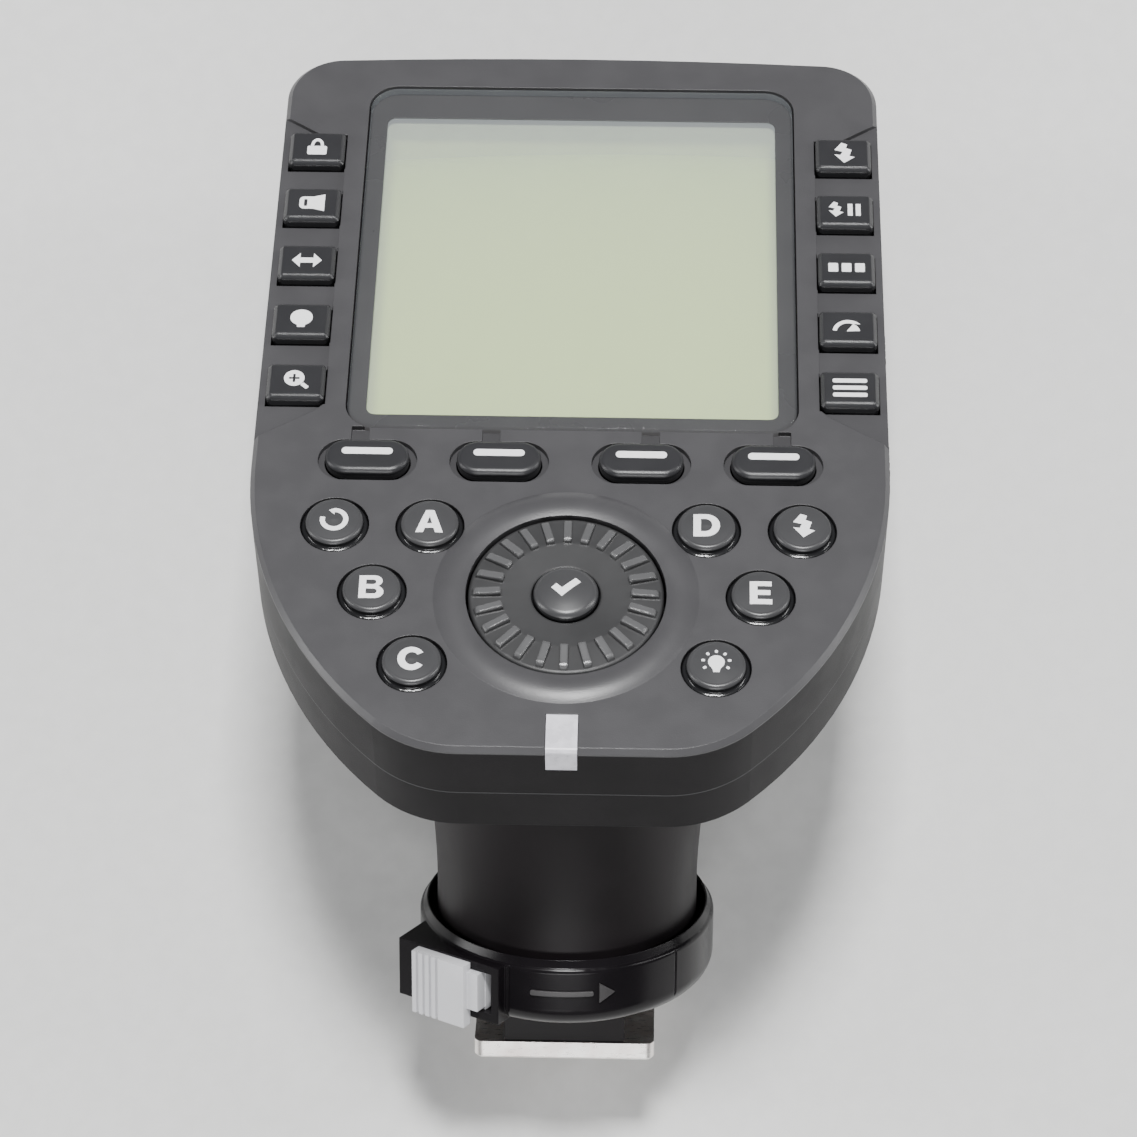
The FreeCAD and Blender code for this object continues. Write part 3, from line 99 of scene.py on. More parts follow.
class Recipe:
    """A node material with one Principled shader, and short names for the nodes that feed it."""

    def __init__(self, name):
        self.material = bpy.data.materials.new(name)
        self.material.use_nodes = True
        self.tree = self.material.node_tree
        self.tree.nodes.clear()
        self.output = self.tree.nodes.new("ShaderNodeOutputMaterial")
        self.shader = self.tree.nodes.new("ShaderNodeBsdfPrincipled")
        self.tree.links.new(self.shader.outputs[0], self.output.inputs[0])
        self.place = self.tree.nodes.new("ShaderNodeTexCoord").outputs["Object"]

    def put(self, socket, value):
        """Gives an input either a number, a colour or another node's output."""
        if isinstance(value, bpy.types.NodeSocket):
            self.tree.links.new(value, socket)
        elif isinstance(value, tuple) and len(value) == 3 and socket.type == "RGBA":
            socket.default_value = (*value, 1.0)
        else:
            socket.default_value = value

    def set(self, **values):
        """Gives the shader's inputs their values. An underscore in a name stands for a space."""
        for name, value in values.items():
            self.put(self.shader.inputs[name.replace("_", " ")], value)
        return self

    def math(self, operation, a, b=0.0, clamp=False):
        node = self.tree.nodes.new("ShaderNodeMath")
        node.operation = operation
        node.use_clamp = clamp
        self.put(node.inputs[0], a)
        self.put(node.inputs[1], b)
        return node.outputs[0]

    def stretched(self, factors, matrix=None):
        """The place, turned into a frame and scaled along each of its axes."""
        node = self.tree.nodes.new("ShaderNodeMapping")
        self.put(node.inputs["Vector"], self.place)
        if matrix is not None:
            inverse = matrix.inverted()
            node.inputs["Rotation"].default_value = inverse.to_euler("XYZ")
            node.inputs["Location"].default_value = inverse.translation
        scaled = self.tree.nodes.new("ShaderNodeVectorMath")
        scaled.operation = "MULTIPLY"
        self.put(scaled.inputs[0], node.outputs[0])
        scaled.inputs[1].default_value = factors
        return scaled.outputs[0]

    def along(self, matrix, axis):
        """The distance of the surface from a frame's origin, along one of its axes."""
        direction = matrix.to_3x3().col[axis]
        node = self.tree.nodes.new("ShaderNodeVectorMath")
        node.operation = "DOT_PRODUCT"
        self.put(node.inputs[0], self.place)
        node.inputs[1].default_value = direction
        return self.math("SUBTRACT", node.outputs["Value"], direction.dot(matrix.translation))

    def noise(self, grain, detail=3.0, place=None):
        """Noise whose features are about as wide as grain."""
        node = self.tree.nodes.new("ShaderNodeTexNoise")
        self.put(node.inputs["Vector"], place or self.place)
        node.inputs["Scale"].default_value = 1.0 / grain
        node.inputs["Detail"].default_value = detail
        return node.outputs[0]

    def step(self, value, low, high, start=0.0, end=1.0):
        """Goes smoothly from start to end as value goes from low to high."""
        node = self.tree.nodes.new("ShaderNodeMapRange")
        node.interpolation_type = "SMOOTHSTEP"
        self.put(node.inputs["Value"], value)
        self.put(node.inputs["From Min"], low)
        self.put(node.inputs["From Max"], high)
        self.put(node.inputs["To Min"], start)
        self.put(node.inputs["To Max"], end)
        return node.outputs[0]

    def mix(self, factor, first, second):
        """The first colour where factor is 0, and the second where it is 1."""
        node = self.tree.nodes.new("ShaderNodeMix")
        node.data_type = "RGBA"
        self.put(node.inputs[0], factor)
        self.put(node.inputs[6], first)
        self.put(node.inputs[7], second)
        return node.outputs[2]

    def rounded(self, radius):
        """The surface's normal, as if its edges had that radius."""
        node = self.tree.nodes.new("ShaderNodeBevel")
        node.samples = 4
        node.inputs["Radius"].default_value = radius
        return node.outputs[0]

    def edges(self, radius, reach):
        """1 on edges and 0 on flat stretches."""
        geometry = self.tree.nodes.new("ShaderNodeNewGeometry")
        node = self.tree.nodes.new("ShaderNodeVectorMath")
        node.operation = "DOT_PRODUCT"
        self.put(node.inputs[0], self.rounded(radius))
        self.put(node.inputs[1], geometry.outputs["Normal"])
        return self.step(node.outputs["Value"], 1.0, 1.0 - reach)

    def bump(self, height, depth, normal=None):
        """The surface's normal over a relief of that depth, on top of another normal if given."""
        node = self.tree.nodes.new("ShaderNodeBump")
        node.inputs["Distance"].default_value = depth
        self.put(node.inputs["Height"], height)
        if normal is not None:
            self.put(node.inputs["Normal"], normal)
        return node.outputs[0]


def tint(colour, factor):
    """A colour made darker or paler by a factor."""
    return tuple(min(channel * factor, 1.0) for channel in colour)


def moulded_recipe(
    name, colour, roughness, gleam=0.5, grain=0.14, depth=0.006, mottle=0.14, edge=0.12, worn=1.5
):
    """A moulded plastic or rubber: mottled, finely textured, with rounded edges a little paler."""
    recipe = Recipe(name)
    patches = recipe.noise(9 * MM, 4.0)
    low = tint(colour, 1 - mottle)
    high = tint(colour, 1 + mottle)
    body = recipe.mix(recipe.step(patches, 0.35, 0.65), low, high)
    uneven = recipe.step(recipe.noise(1.5 * MM), 0.3, 0.7, 0.4, 1.0)
    rub = recipe.math("MULTIPLY", recipe.edges(edge * MM, 0.12), uneven)
    fine = recipe.noise(grain * MM, 2.0)
    return recipe.set(
        Base_Color=recipe.mix(rub, body, tint(colour, worn)),
        Roughness=recipe.step(patches, 0.3, 0.7, roughness - 0.04, roughness + 0.04),
        Specular_IOR_Level=gleam,
        Normal=recipe.bump(fine, depth * MM, recipe.rounded(edge * MM)),
    )


def moulded(*values, **options):
    return moulded_recipe(*values, **options).material


def two_finish_recipe(name, first, second, distance, low, high, **options):
    """A moulding with one finish where a distance is under low, and another where it is over high.

    A finish is a colour, a roughness and how much it gleams.
    """
    uneven = 0.015
    recipe = moulded_recipe(name, *first, **options)
    mask = recipe.step(distance(recipe), low, high)
    patches = recipe.step(recipe.noise(4 * MM, 4.0), 0.3, 0.7)
    colour, roughness, gleam = second
    body = recipe.mix(patches, tint(colour, 0.96), tint(colour, 1.04))
    blend = recipe.tree.nodes.new("ShaderNodeMix")
    recipe.put(blend.inputs[0], mask)
    for socket, rough in ((blend.inputs[2], first[1]), (blend.inputs[3], roughness)):
        recipe.put(socket, recipe.step(patches, 0.0, 1.0, rough - uneven, rough + uneven))
    below = recipe.shader.inputs["Base Color"].links[0].from_socket
    return recipe.set(
        Roughness=blend.outputs[0],
        Specular_IOR_Level=recipe.step(mask, 0.0, 1.0, first[2], gleam),
        Base_Color=recipe.mix(mask, below, body),
    )


def two_finish(*values, **options):
    return two_finish_recipe(*values, **options).material


def case_finish(wall, face):
    """The case's satin face and its walls, painted darker as painted shade, with a painted highlight along the
    fine line where its two shells meet.
    """
    seam_highlight_colour = (0.06, 0.06, 0.062)
    recipe = two_finish_recipe(
        "case_plastic", wall, face, face_height, -0.75 * MM, -0.55 * MM,
        grain=0.13, depth=0.012, worn=1.7,
    )
    seam = span("rear_housing", FACE)[1].z
    away = recipe.math("ABSOLUTE", recipe.math("SUBTRACT", face_height(recipe), seam))
    # a pale line along the seam of the two shells: a painted highlight
    line = recipe.step(away, 0.09 * MM, 0.05 * MM)
    plain = recipe.shader.inputs["Base Color"].links[0].from_socket
    return recipe.set(Base_Color=recipe.mix(line, plain, seam_highlight_colour)).material


def metal(name, colour, roughness, brush=(1, 1, 1), grain=0.08, depth=0.002, matrix=None):
    """A metal, brushed along the axis whose factor is the smallest."""
    recipe = Recipe(name)
    place = recipe.stretched(brush, matrix)
    lines = recipe.noise(grain * MM, 3.0, place)
    stains = recipe.noise(3 * MM, 4.0)
    edge = recipe.edges(0.08 * MM, 0.1)
    body = recipe.mix(recipe.step(stains, 0.3, 0.7), tint(colour, 0.82), tint(colour, 1.08))
    return recipe.set(
        Base_Color=recipe.mix(edge, body, tint(colour, 1.25)),
        Metallic=1.0,
        Roughness=recipe.step(lines, 0.3, 0.7, roughness - 0.08, roughness + 0.1),
        Normal=recipe.bump(lines, depth * MM, recipe.rounded(0.06 * MM)),
    ).material


def face_height(recipe):
    """How far the surface is above the face."""
    return recipe.along(FACE, 2)


def display_surface():
    """The pale reflective display: a fine dot grid, the painted shade of the window's edge on it, and a faint
    painted glow.
    """
    recipe = Recipe("display_glass")
    dot_pitch = 0.33 * MM
    shaded = (0.30, 0.33, 0.30)
    gap_colour = (0.3, 0.35, 0.25)
    across = recipe.along(FACE, 0)
    up = recipe.along(FACE, 1)
    low, high = mask_opening()
    glow = recipe.mix(recipe.step(up, low[1], high[1]), (0.62, 0.75, 0.37), (0.62, 0.75, 0.40))
    top_shade = recipe.step(up, high[1] - 3.3 * MM, high[1] - 1.9 * MM)
    left_shade = recipe.step(across, low[0] + 1.5 * MM, low[0])
    right_shade = recipe.step(across, high[0] - 1.2 * MM, high[0])
    shade = recipe.math("MAXIMUM", top_shade, recipe.math("MAXIMUM", left_shade, right_shade))
    colour = recipe.mix(recipe.math("MULTIPLY", shade, 0.55), glow, shaded)
    dots = []
    for axis in (across, up):
        wave = recipe.math("SINE", recipe.math("MULTIPLY", axis, 2 * math.pi / dot_pitch))
        dots.append(recipe.step(wave, 0.75, 1.0))
    lines = recipe.math("MAXIMUM", dots[0], dots[1])
    return recipe.set(
        Base_Color=recipe.mix(recipe.math("MULTIPLY", lines, 0.05), colour, gap_colour),
        Roughness=recipe.step(recipe.noise(5 * MM), 0.3, 0.7, 0.42, 0.5),
        # the display is no lamp: this faint emission is a painted glow
        Emission_Color=colour,
        Emission_Strength=0.1,
    ).material


def window_clear():
    """The clear part of the display window: nearly all of the light goes through."""
    recipe = Recipe("window_clear")
    layer = recipe.tree.nodes.new("ShaderNodeLayerWeight")
    layer.inputs["Blend"].default_value = 0.3
    smears = recipe.step(recipe.noise(12 * MM, 5.0), 0.4, 0.7, 0.05, 0.11)
    glare = recipe.math("MULTIPLY", layer.outputs["Fresnel"], 0.5)
    haze = 0.06
    return recipe.set(
        Base_Color=recipe.mix(recipe.noise(6 * MM), (0.30, 0.32, 0.34), (0.36, 0.38, 0.40)),
        Roughness=smears,
        Alpha=recipe.math("ADD", glare, haze, clamp=True),
        Normal=recipe.rounded(0.12 * MM),
    ).material


def frosted(name, colour, roughness):
    """A translucent moulding that scatters light inside."""
    recipe = Recipe(name)
    cloud = recipe.noise(1.2 * MM, 4.0)
    return recipe.set(
        Base_Color=recipe.mix(recipe.step(cloud, 0.3, 0.7), tint(colour, 0.9), tint(colour, 1.1)),
        Roughness=recipe.step(cloud, 0.3, 0.7, roughness - 0.05, roughness + 0.05),
        Subsurface_Weight=0.5,
        Subsurface_Radius=(1.0 * MM, 1.0 * MM, 1.0 * MM),
        Normal=recipe.bump(recipe.noise(0.2 * MM), 0.002 * MM, recipe.rounded(0.1 * MM)),
    ).material


def cell_jacket():
    """A battery's printed sleeve, with its plated ends bare."""
    recipe = Recipe("cell_jacket")
    bare_end = 1.6 * MM
    band_start = 13 * MM
    sharp = 0.1 * MM
    low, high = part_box("upper_cell")
    half = (high.x - low.x) / 2
    across = recipe.along(Matrix.Identity(4), 0)
    reach = recipe.math("ABSOLUTE", recipe.math("SUBTRACT", across, (low.x + high.x) / 2))
    bare = recipe.step(reach, half - bare_end, half - bare_end + sharp)
    band = recipe.step(reach, band_start, band_start + sharp)
    printed = recipe.mix(band, (0.05, 0.09, 0.16), (0.42, 0.43, 0.45))
    return recipe.set(
        Base_Color=recipe.mix(bare, printed, (0.65, 0.64, 0.61)),
        Metallic=bare,
        Roughness=recipe.step(recipe.noise(2 * MM), 0.3, 0.7, 0.22, 0.32),
        Normal=recipe.rounded(0.15 * MM),
    ).material


def board():
    """Green solder mask over copper tracks."""
    recipe = Recipe("circuit_board")
    track_pitch = 2.2 * MM
    cells = recipe.tree.nodes.new("ShaderNodeTexVoronoi")
    cells.distance = "MANHATTAN"
    cells.feature = "DISTANCE_TO_EDGE"
    recipe.put(cells.inputs["Vector"], recipe.stretched((1, 1, 1), FACE))
    cells.inputs["Scale"].default_value = 1.0 / track_pitch
    track = recipe.step(cells.outputs[0], 0.05, 0.08)
    return recipe.set(
        Base_Color=recipe.mix(track, (0.05, 0.24, 0.10), (0.02, 0.11, 0.05)),
        Roughness=recipe.step(recipe.noise(2 * MM), 0.3, 0.7, 0.25, 0.35),
        Normal=recipe.bump(track, 0.02 * MM),
    ).material


def ink(name, colour):
    """Screen-printed or laser-marked legends."""
    recipe = Recipe(name)
    grain = recipe.noise(0.12 * MM, 2.0)
    return recipe.set(
        Base_Color=recipe.mix(recipe.step(grain, 0.3, 0.7), tint(colour, 0.94), colour),
        Roughness=recipe.step(grain, 0.3, 0.7, 0.4, 0.5),
        Normal=recipe.bump(grain, 0.002 * MM),
    ).material


def pale_floor():
    """The studio's matt paper floor."""
    recipe = Recipe("studio_floor")
    fibres = recipe.noise(2.5 * MM, 5.0)
    dark, pale = (0.66, 0.66, 0.65), (0.70, 0.70, 0.69)
    return recipe.set(
        Base_Color=recipe.mix(recipe.step(fibres, 0.3, 0.7), dark, pale),
        Roughness=recipe.step(fibres, 0.3, 0.7, 0.6, 0.7),
    ).material


# ---------------------------------------------------------------- flat shapes, in millimetres


def arc(x, y, rx, ry, start, end, steps=14):
    """Points along an ellipse's arc, from one angle in degrees to another."""
    angles = [math.radians(start + (end - start) * step / steps) for step in range(steps + 1)]
    return [(x + rx * math.cos(angle), y + ry * math.sin(angle)) for angle in angles]


def disc(radius, steps=28):
    """A closed circle around the origin."""
    return arc(0, 0, radius, radius, 0, 360, steps)[:-1]


def rounded(left, right, bottom, top, radius):
    """A rectangle with round corners."""
    corners = ((right, top, 0), (left, top, 90), (left, bottom, 180), (right, bottom, 270))
    points = []
    for x, y, start in corners:
        inner_x = x - math.copysign(radius, x - (left + right) / 2)
        inner_y = y - math.copysign(radius, y - (bottom + top) / 2)
        points += arc(inner_x, inner_y, radius, radius, start, start + 90, 4)
    return points


def rectangle(left, right, bottom, top):
    return [(left, bottom), (right, bottom), (right, top), (left, top)]


def turned_by(points, degrees, x=0.0, y=0.0):
    """One outline turned about the origin, and then moved."""
    c = math.cos(math.radians(degrees))
    s = math.sin(math.radians(degrees))
    return [(x + c * px - s * py, y + s * px + c * py) for px, py in points]


def turned_by_all(outlines, degrees):
    """Several outlines turned about the origin."""
    return [turned_by(points, degrees) for points in outlines]


def scaled(outlines, across, up=None):
    """The outlines made larger, by one factor or by one each way."""
    return [[(x * across, y * (up or across)) for x, y in points] for points in outlines]


def moved(outlines, across, up):
    return [[(x + across, y + up) for x, y in points] for points in outlines]


def letter(name, wide, high):
    """A bold letter centred on the origin, as closed outlines: the outer one, then its holes."""
    stem = 0.28
    thick = 0.21
    if name == "A":
        outlines = [
            [
                (0, 0), (0.35, 1), (0.65, 1), (1, 0),
                (0.72, 0), (0.66, 0.19), (0.34, 0.19), (0.28, 0),
            ],
            [(0.405, 0.39), (0.595, 0.39), (0.5, 0.72)],
        ]
    elif name == "B":
        upper = arc(0.62, 0.755, 0.32, 0.245, -60, 90)
        lower = arc(0.62, 0.275, 0.38, 0.275, -90, 55)
        outlines = [
            [(0, 0)] + lower + upper + [(0, 1)],
            [(stem, 0.19), (stem, 0.41)] + arc(0.6, 0.3, 0.13, 0.11, 90, -90, 8),
            [(stem, 0.6), (stem, 0.81)] + arc(0.57, 0.705, 0.12, 0.105, 90, -90, 8),
        ]
    elif name == "C":
        outer = arc(0.5, 0.5, 0.5, 0.5, 33, 327, 24)
        inner = arc(0.52, 0.5, 0.25, 0.27, 322, 38, 20)
        outlines = [outer + inner]
    elif name == "D":
        outlines = [
            [(0, 0), (0.42, 0)] + arc(0.48, 0.5, 0.52, 0.5, -90, 90, 20) + [(0, 1)],
            [(stem, 0.22), (stem, 0.78)] + arc(0.45, 0.5, 0.26, 0.28, 90, -90, 14),
        ]
    else:
        outlines = [
            [
                (0, 0), (1, 0), (1, thick), (0.34, thick), (0.34, 0.395), (0.92, 0.395),
                (0.92, 0.605), (0.34, 0.605), (0.34, 1 - thick), (0.98, 1 - thick),
                (0.98, 1), (0, 1),
            ],
        ]
    return [[((x - 0.5) * wide, (y - 0.5) * high) for x, y in points] for points in outlines]


def bolt():
    """A stepped bolt that ends in an arrow head."""
    points = [
        (-0.15, 1.25), (0.35, 1.05), (0.22, 0.62), (0.72, 0.42), (0.5, -0.28), (0.95, -0.42),
        (0.05, -1.1), (-0.75, -0.12), (-0.25, -0.2), (-0.05, 0.2), (-0.75, 0.4),
    ]
    return [points]


def lamp():
    """A bulb with short rays around it."""
    middle_y = 0.12
    cap = [(-0.3, -0.72), (-0.28, -0.95), (0.28, -0.95), (0.3, -0.72)]
    bulb = arc(0, middle_y, 0.72, 0.72, -50, 230, 24) + cap
    ray = rounded(1.0, 1.32, -0.13, 0.13, 0.1)
    return [bulb] + [turned_by(ray, degrees, 0, middle_y) for degrees in range(-30, 211, 40)]


def round_arrow(radius, width):
    """Three quarters of a ring with an arrow head: the next mode."""
    outer = radius + width / 2
    inner = radius - width / 2
    head = width * 1.15
    ring = arc(0, 0, outer, outer, 90, -195, 26)
    back = arc(0, 0, inner, inner, -195, 90, 26)
    return [ring + back + [(0.0, radius - head), (-head, radius)]]


def tick():
    return [[(-0.95, 0.1), (-0.62, 0.43), (-0.25, 0.06), (0.62, 0.9), (0.95, 0.57), (-0.25, -0.62)]]


def padlock():
    shackle = arc(0, 0.1, 0.6, 0.95, 0, 180, 14) + arc(0, 0.1, 0.32, 0.62, 180, 0, 10)
    return [rounded(-0.9, 0.9, -1.0, 0.08, 0.16), shackle]


def zoom_head():
    """A flash head seen from the side: a round back, a slot and a flared front."""
    shell = [(1.1, 1.0), (0.1, 0.72), (-0.7, 0.72)] + arc(-0.7, 0.3, 0.42, 0.42, 90, 180, 5)
    shell += arc(-0.7, -0.3, 0.42, 0.42, 180, 270, 5) + [(0.1, -0.72), (1.1, -1.0)]
    return [shell, rounded(-0.72, -0.42, -0.42, 0.42, 0.1)]


def wide_arrow():
    """An arrow with two heads: the range."""
    right = [(0.6, 0.3), (0.6, 0.85), (1.35, 0), (0.6, -0.85), (0.6, -0.3)]
    left = [(-x, -y) for x, y in right]
    return [right + left]


def balloon_lamp():
    """A wide bulb on a short neck."""
    return [arc(0, 0.2, 1.0, 0.85, -68, 248, 30) + [(-0.33, -0.85), (0.33, -0.85)]]


def magnifier():
    """A lens with a plus in it, and its handle."""
    handle = turned_by(rounded(0.98, 1.75, -0.2, 0.2, 0.12), -42)
    lens = disc(0.95)
    arm, half = 0.5, 0.12
    plus = [
        (-half, arm), (-half, half), (-arm, half), (-arm, -half), (-half, -half), (-half, -arm),
        (half, -arm), (half, -half), (arm, -half), (arm, half), (half, half), (half, arm),
    ]
    return moved(scaled([lens, plus, handle], 0.95), -0.15, 0.2)


def bolt_and_bars():
    """A bolt beside two pulses: high-speed sync."""
    flash = moved(scaled(bolt(), 0.75), -0.85, 0.0)
    pulses = [rectangle(x, x + 0.42, -0.7, 0.7) for x in (0.25, 0.95)]
    return flash + pulses


def three_squares():
    return [rounded(x - 0.42, x + 0.42, -0.5, 0.5, 0.1) for x in (-1.15, 0.0, 1.15)]


def dial_gauge():
    """A half-round gauge with its needle."""
    base = -0.55
    band = arc(0, base, 1.25, 1.25, 8, 172, 20) + arc(0, base, 0.92, 0.92, 172, 8, 18)
    needle = turned_by([(-0.16, 0), (0.16, 0), (0.05, 0.95), (-0.05, 0.95)], -28, 0, base)
    return [band, needle]


def power_mark():
    """The standby sign: an open ring with a bar in its gap."""
    ring = arc(0, 0, 0.8, 0.8, 125, 415, 22) + arc(0, 0, 0.56, 0.56, 415, 125, 22)
    return [ring, rectangle(-0.13, 0.13, 0.1, 1.0)]


def beam_mark():
    """A lamp that throws three rays: the focus-assist lamp."""
    rays = [rounded(0.15, 1.0, y - 0.1, y + 0.1, 0.08) for y in (-0.5, 0.0, 0.5)]
    return [arc(-0.2, 0, 0.7, 0.7, 90, 270, 16)] + rays


def three_lines():
    return [rounded(-1.2, 1.2, y - 0.2, y + 0.2, 0.14) for y in (-0.72, 0.0, 0.72)]


# ---------------------------------------------------------------- pieces


# between a legend and the surface under it, so that the two don't share a plane
LEGEND_GAP = 0.004 * MM
# a distance from the dial's axis, in millimetres, that is outside the case
OUTSIDE = 60.0


def new_piece(name, mesh, node, material):
    """Puts a mesh on the body of a CAD node."""
    piece = bpy.data.objects.new(name, mesh)
    bpy.context.scene.collection.objects.link(piece)
    mesh.materials.clear()
    mesh.materials.append(material)
    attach(piece, body_of_node[node])
    return piece


def filled(outlines):
    """A flat mesh, in millimetres, of the area between closed outlines."""
    curve = bpy.data.curves.new("outline", "CURVE")
    curve.dimensions = "2D"
    curve.fill_mode = "BOTH"
    for points in outlines:
        spline = curve.splines.new("POLY")
        spline.points.add(len(points) - 1)
        for point, (x, y) in zip(spline.points, points):
            point.co = (x, y, 0.0, 1.0)
        spline.use_cyclic_u = True
    holder = bpy.data.objects.new("outline", curve)
    mesh = bpy.data.meshes.new_from_object(holder)
    bpy.data.objects.remove(holder)
    bpy.data.curves.remove(curve)
    return mesh


def divided(mesh):
    """Splits long edges, so that the mesh can follow a curved surface."""
    longest = 0.4
    rounds = 5
    shape = bmesh.new()
    shape.from_mesh(mesh)
    bmesh.ops.remove_doubles(shape, verts=shape.verts, dist=1e-4)
    for _ in range(rounds):
        long_edges = [edge for edge in shape.edges if edge.calc_length() > longest]
        if not long_edges:
            break
        bmesh.ops.subdivide_edges(shape, edges=long_edges, cuts=1)
        bmesh.ops.triangulate(shape, faces=shape.faces)
    shape.to_mesh(mesh)
    shape.free()
    return mesh


def laid_on(mesh, node, start):
    """Moves a flat mesh's points onto a CAD node's surface. start gives a place and a direction."""
    tree = surface(node)
    for vertex in mesh.vertices:
        origin, direction = start(vertex.co)
        hit = tree.ray_cast(origin, direction)[0]
        if hit is None:
            raise RuntimeError(f"a legend runs off {node}")
        vertex.co = hit - direction * LEGEND_GAP


def thickened(piece, thickness):
    """Gives a flat piece a thickness in millimetres, outwards."""
    layer = piece.modifiers.new("ink", "SOLIDIFY")
    layer.thickness = thickness * MM
    layer.offset = 1.0


def legend(name, node, outlines, start, material, thickness=0.03):
    """A thin printed or raised shape that follows a CAD node's surface."""
    mesh = divided(filled(outlines))
    laid_on(mesh, node, start)
    thickened(new_piece(name, mesh, node, material), thickness)


def above(centre):
    """Starts a ray over the face, downwards, for a flat mesh with its origin at centre."""
    reach = 5.0 * MM
    down = -FACE.to_3x3().col[2]

    def start(point):
        place = Vector((centre.x + point.x * MM, centre.y + point.y * MM, centre.z + reach))
        return FACE @ place, down

    return start


def around(turn, height, radius):
    """Starts a ray outside the lock ring, towards its axis. turn is from the front, in degrees."""
    clear = 1.3

    def start(point):
        angle = math.radians(turn - 90) + point.x * MM / radius
        outward = RING.to_3x3() @ Vector((math.cos(angle), math.sin(angle), 0))
        origin = RING @ Vector((0, 0, height + point.y * MM)) + outward * radius * clear
        return origin, -outward

    return start


def beside(y, depth):
    """Starts a ray beside the right-hand wall. A mesh's X is up the case, and its Y to the back."""

    def start(point):
        place = Vector((OUTSIDE * MM, (y + point.x) * MM, -(depth + point.y) * MM))
        return FACE @ place, -FACE.to_3x3().col[0]

    return start


def behind(y):
    """Starts a ray behind the case, with a flat mesh's X to the left as seen from the front."""

    def start(point):
        place = Vector((-point.x * MM, (y + point.y) * MM, -OUTSIDE * MM))
        return FACE @ place, FACE.to_3x3().col[2]

    return start


# each flash group's letter and its width, in millimetres
LETTERS = {
    "group_a_button": ("A", 2.7),
    "group_b_button": ("B", 2.4),
    "group_c_button": ("C", 2.65),
    "group_d_button": ("D", 2.6),
    "group_e_button": ("E", 2.15),
}
LETTER_HEIGHT = 2.75
SOFT_KEY_BAR = [rounded(-2.55, 2.55, -0.42, 0.42, 0.4)]
KEY_ICONS = {
    "mode_button": round_arrow(1.15, 0.5),
    "test_flash_button": scaled(bolt(), 1.25),
    "modelling_lamp_button": scaled(lamp(), 1.1),
    "centre_key": scaled(tick(), 1.5),
    "left_key_1": scaled(padlock(), 1.15),
    "left_key_2": scaled(zoom_head(), 1.2),
    "left_key_3": scaled(wide_arrow(), 1.15),
    "left_key_4": scaled(balloon_lamp(), 1.15, 1.25),
    "left_key_5": scaled(magnifier(), 1.15),
    "right_key_1": scaled(bolt(), 1.25),
    "right_key_2": scaled(bolt_and_bars(), 1.2),
    "right_key_3": scaled(three_squares(), 1.2),
    "right_key_4": scaled(dial_gauge(), 1.3),
    "right_key_5": scaled(three_lines(), 1.45, 1.3),
}


def key_legends(white):
    """The white legend on every key."""
    bar_shift = 0.45 * MM
    shapes = dict(KEY_ICONS)
    for node, (name, wide) in LETTERS.items():
        shapes[node] = letter(name, wide, LETTER_HEIGHT)
    for number in range(1, 5):
        shapes[f"soft_key_{number}"] = SOFT_KEY_BAR
    for node, outlines in shapes.items():
        centre = middle(node)
        if node.startswith("soft"):
            centre.y += bar_shift
        if node.startswith(("left", "right")):
            centre.x = key_top_middle(node)
        legend(f"{node}_legend", node, outlines, above(centre), white)


def key_top_middle(node):
    """The middle of a side key's top, which its flange isn't part of."""
    slack = 0.01 * MM
    inverse = FACE.inverted()
    points = [inverse @ vertex.co for vertex in frame["nodes"][node].data.vertices]
    top = max(point.z for point in points)
    across = [point.x for point in points if point.z > top - slack]
    return (min(across) + max(across)) / 2


def mask_opening():
    """The visible display, in the face frame: the window's border hides the rest of the panel."""
    side, below, over = 1.85 * MM, 2.6 * MM, 3.6 * MM
    low, high = span("display_window", FACE)
    return (low.x + side, low.y + below), (high.x - side, high.y - over)


def window_border(material):
    """The dark border printed on the back of the display window."""
    gap = 0.05
    outer_radius, inner_radius = 3.0, 0.9
    inset = 0.06 * MM
    low, high = span("display_window", FACE)
    opening_low, opening_high = mask_opening()
    left, bottom, right, top = (value / MM for value in (low.x, low.y, high.x, high.y))
    outer = rounded(left + gap, right - gap, bottom + gap, top - gap, outer_radius)
    left, bottom, right, top = (value / MM for value in (*opening_low, *opening_high))
    inner = rounded(left, right, bottom, top, inner_radius)
    mesh = filled([outer, inner])
    for vertex in mesh.vertices:
        vertex.co = FACE @ Vector((vertex.co.x * MM, vertex.co.y * MM, low.z + inset))
    piece = new_piece("display_window_border", mesh, "display_window", material)
    thickened(piece, 0.04)


def wall_marks(white, slots):
    """The signs beside the two switches, the ribs on the socket cover and the arrow on the door."""
    sign_shift = 1.0
    sign_depth = 13.2
    signs = {"power_switch": power_mark(), "focus_assist_switch": beam_mark()}
    for switch, outlines in signs.items():
        start = beside(middle(switch).y / MM + sign_shift, sign_depth)
        legend(f"{switch}_mark", "rear_housing", turned_by_all(outlines, -90), start, white)

    ribs_from_end = 2.2
    low, high = span("socket_cover", FACE)
    depth = -(low.z + high.z) / 2 / MM
    ribs = [rounded(x - 0.2, x + 0.2, -1.7, 1.7, 0.15) for x in (-0.8, 0.0, 0.8)]
    start = beside(high.y / MM - ribs_from_end, depth)
    rubber = "black_rubber"
    legend("socket_cover_grip", "socket_cover", ribs, start, slots[rubber], 0.2)

    arrow_y = 66.0
    start = behind(arrow_y)
    arrow = [[(-1.8, 0.0), (1.8, 0.0), (0.0, 2.4)]]
    plastic = "case_plastic"
    legend("battery_door_arrow", "battery_door", arrow, start, slots[plastic], 0.15)


def ring_arrow(material):
    """A raised arrow on the lock ring's front panel: the way it turns to lock."""
    turn = 4.0
    raised = 0.4 * MM
    low, high = span("lock_ring", RING)
    start = around(turn, (low.z + high.z) / 2 + raised, high.x)
    head = [(2.6, 1.1), (2.6, -1.1), (4.2, 0.0)]
    shaft = rounded(-4.4, 2.0, -0.28, 0.28, 0.2)
    legend("lock_ring_arrow", "lock_ring", [head, shaft], start, material, 0.2)


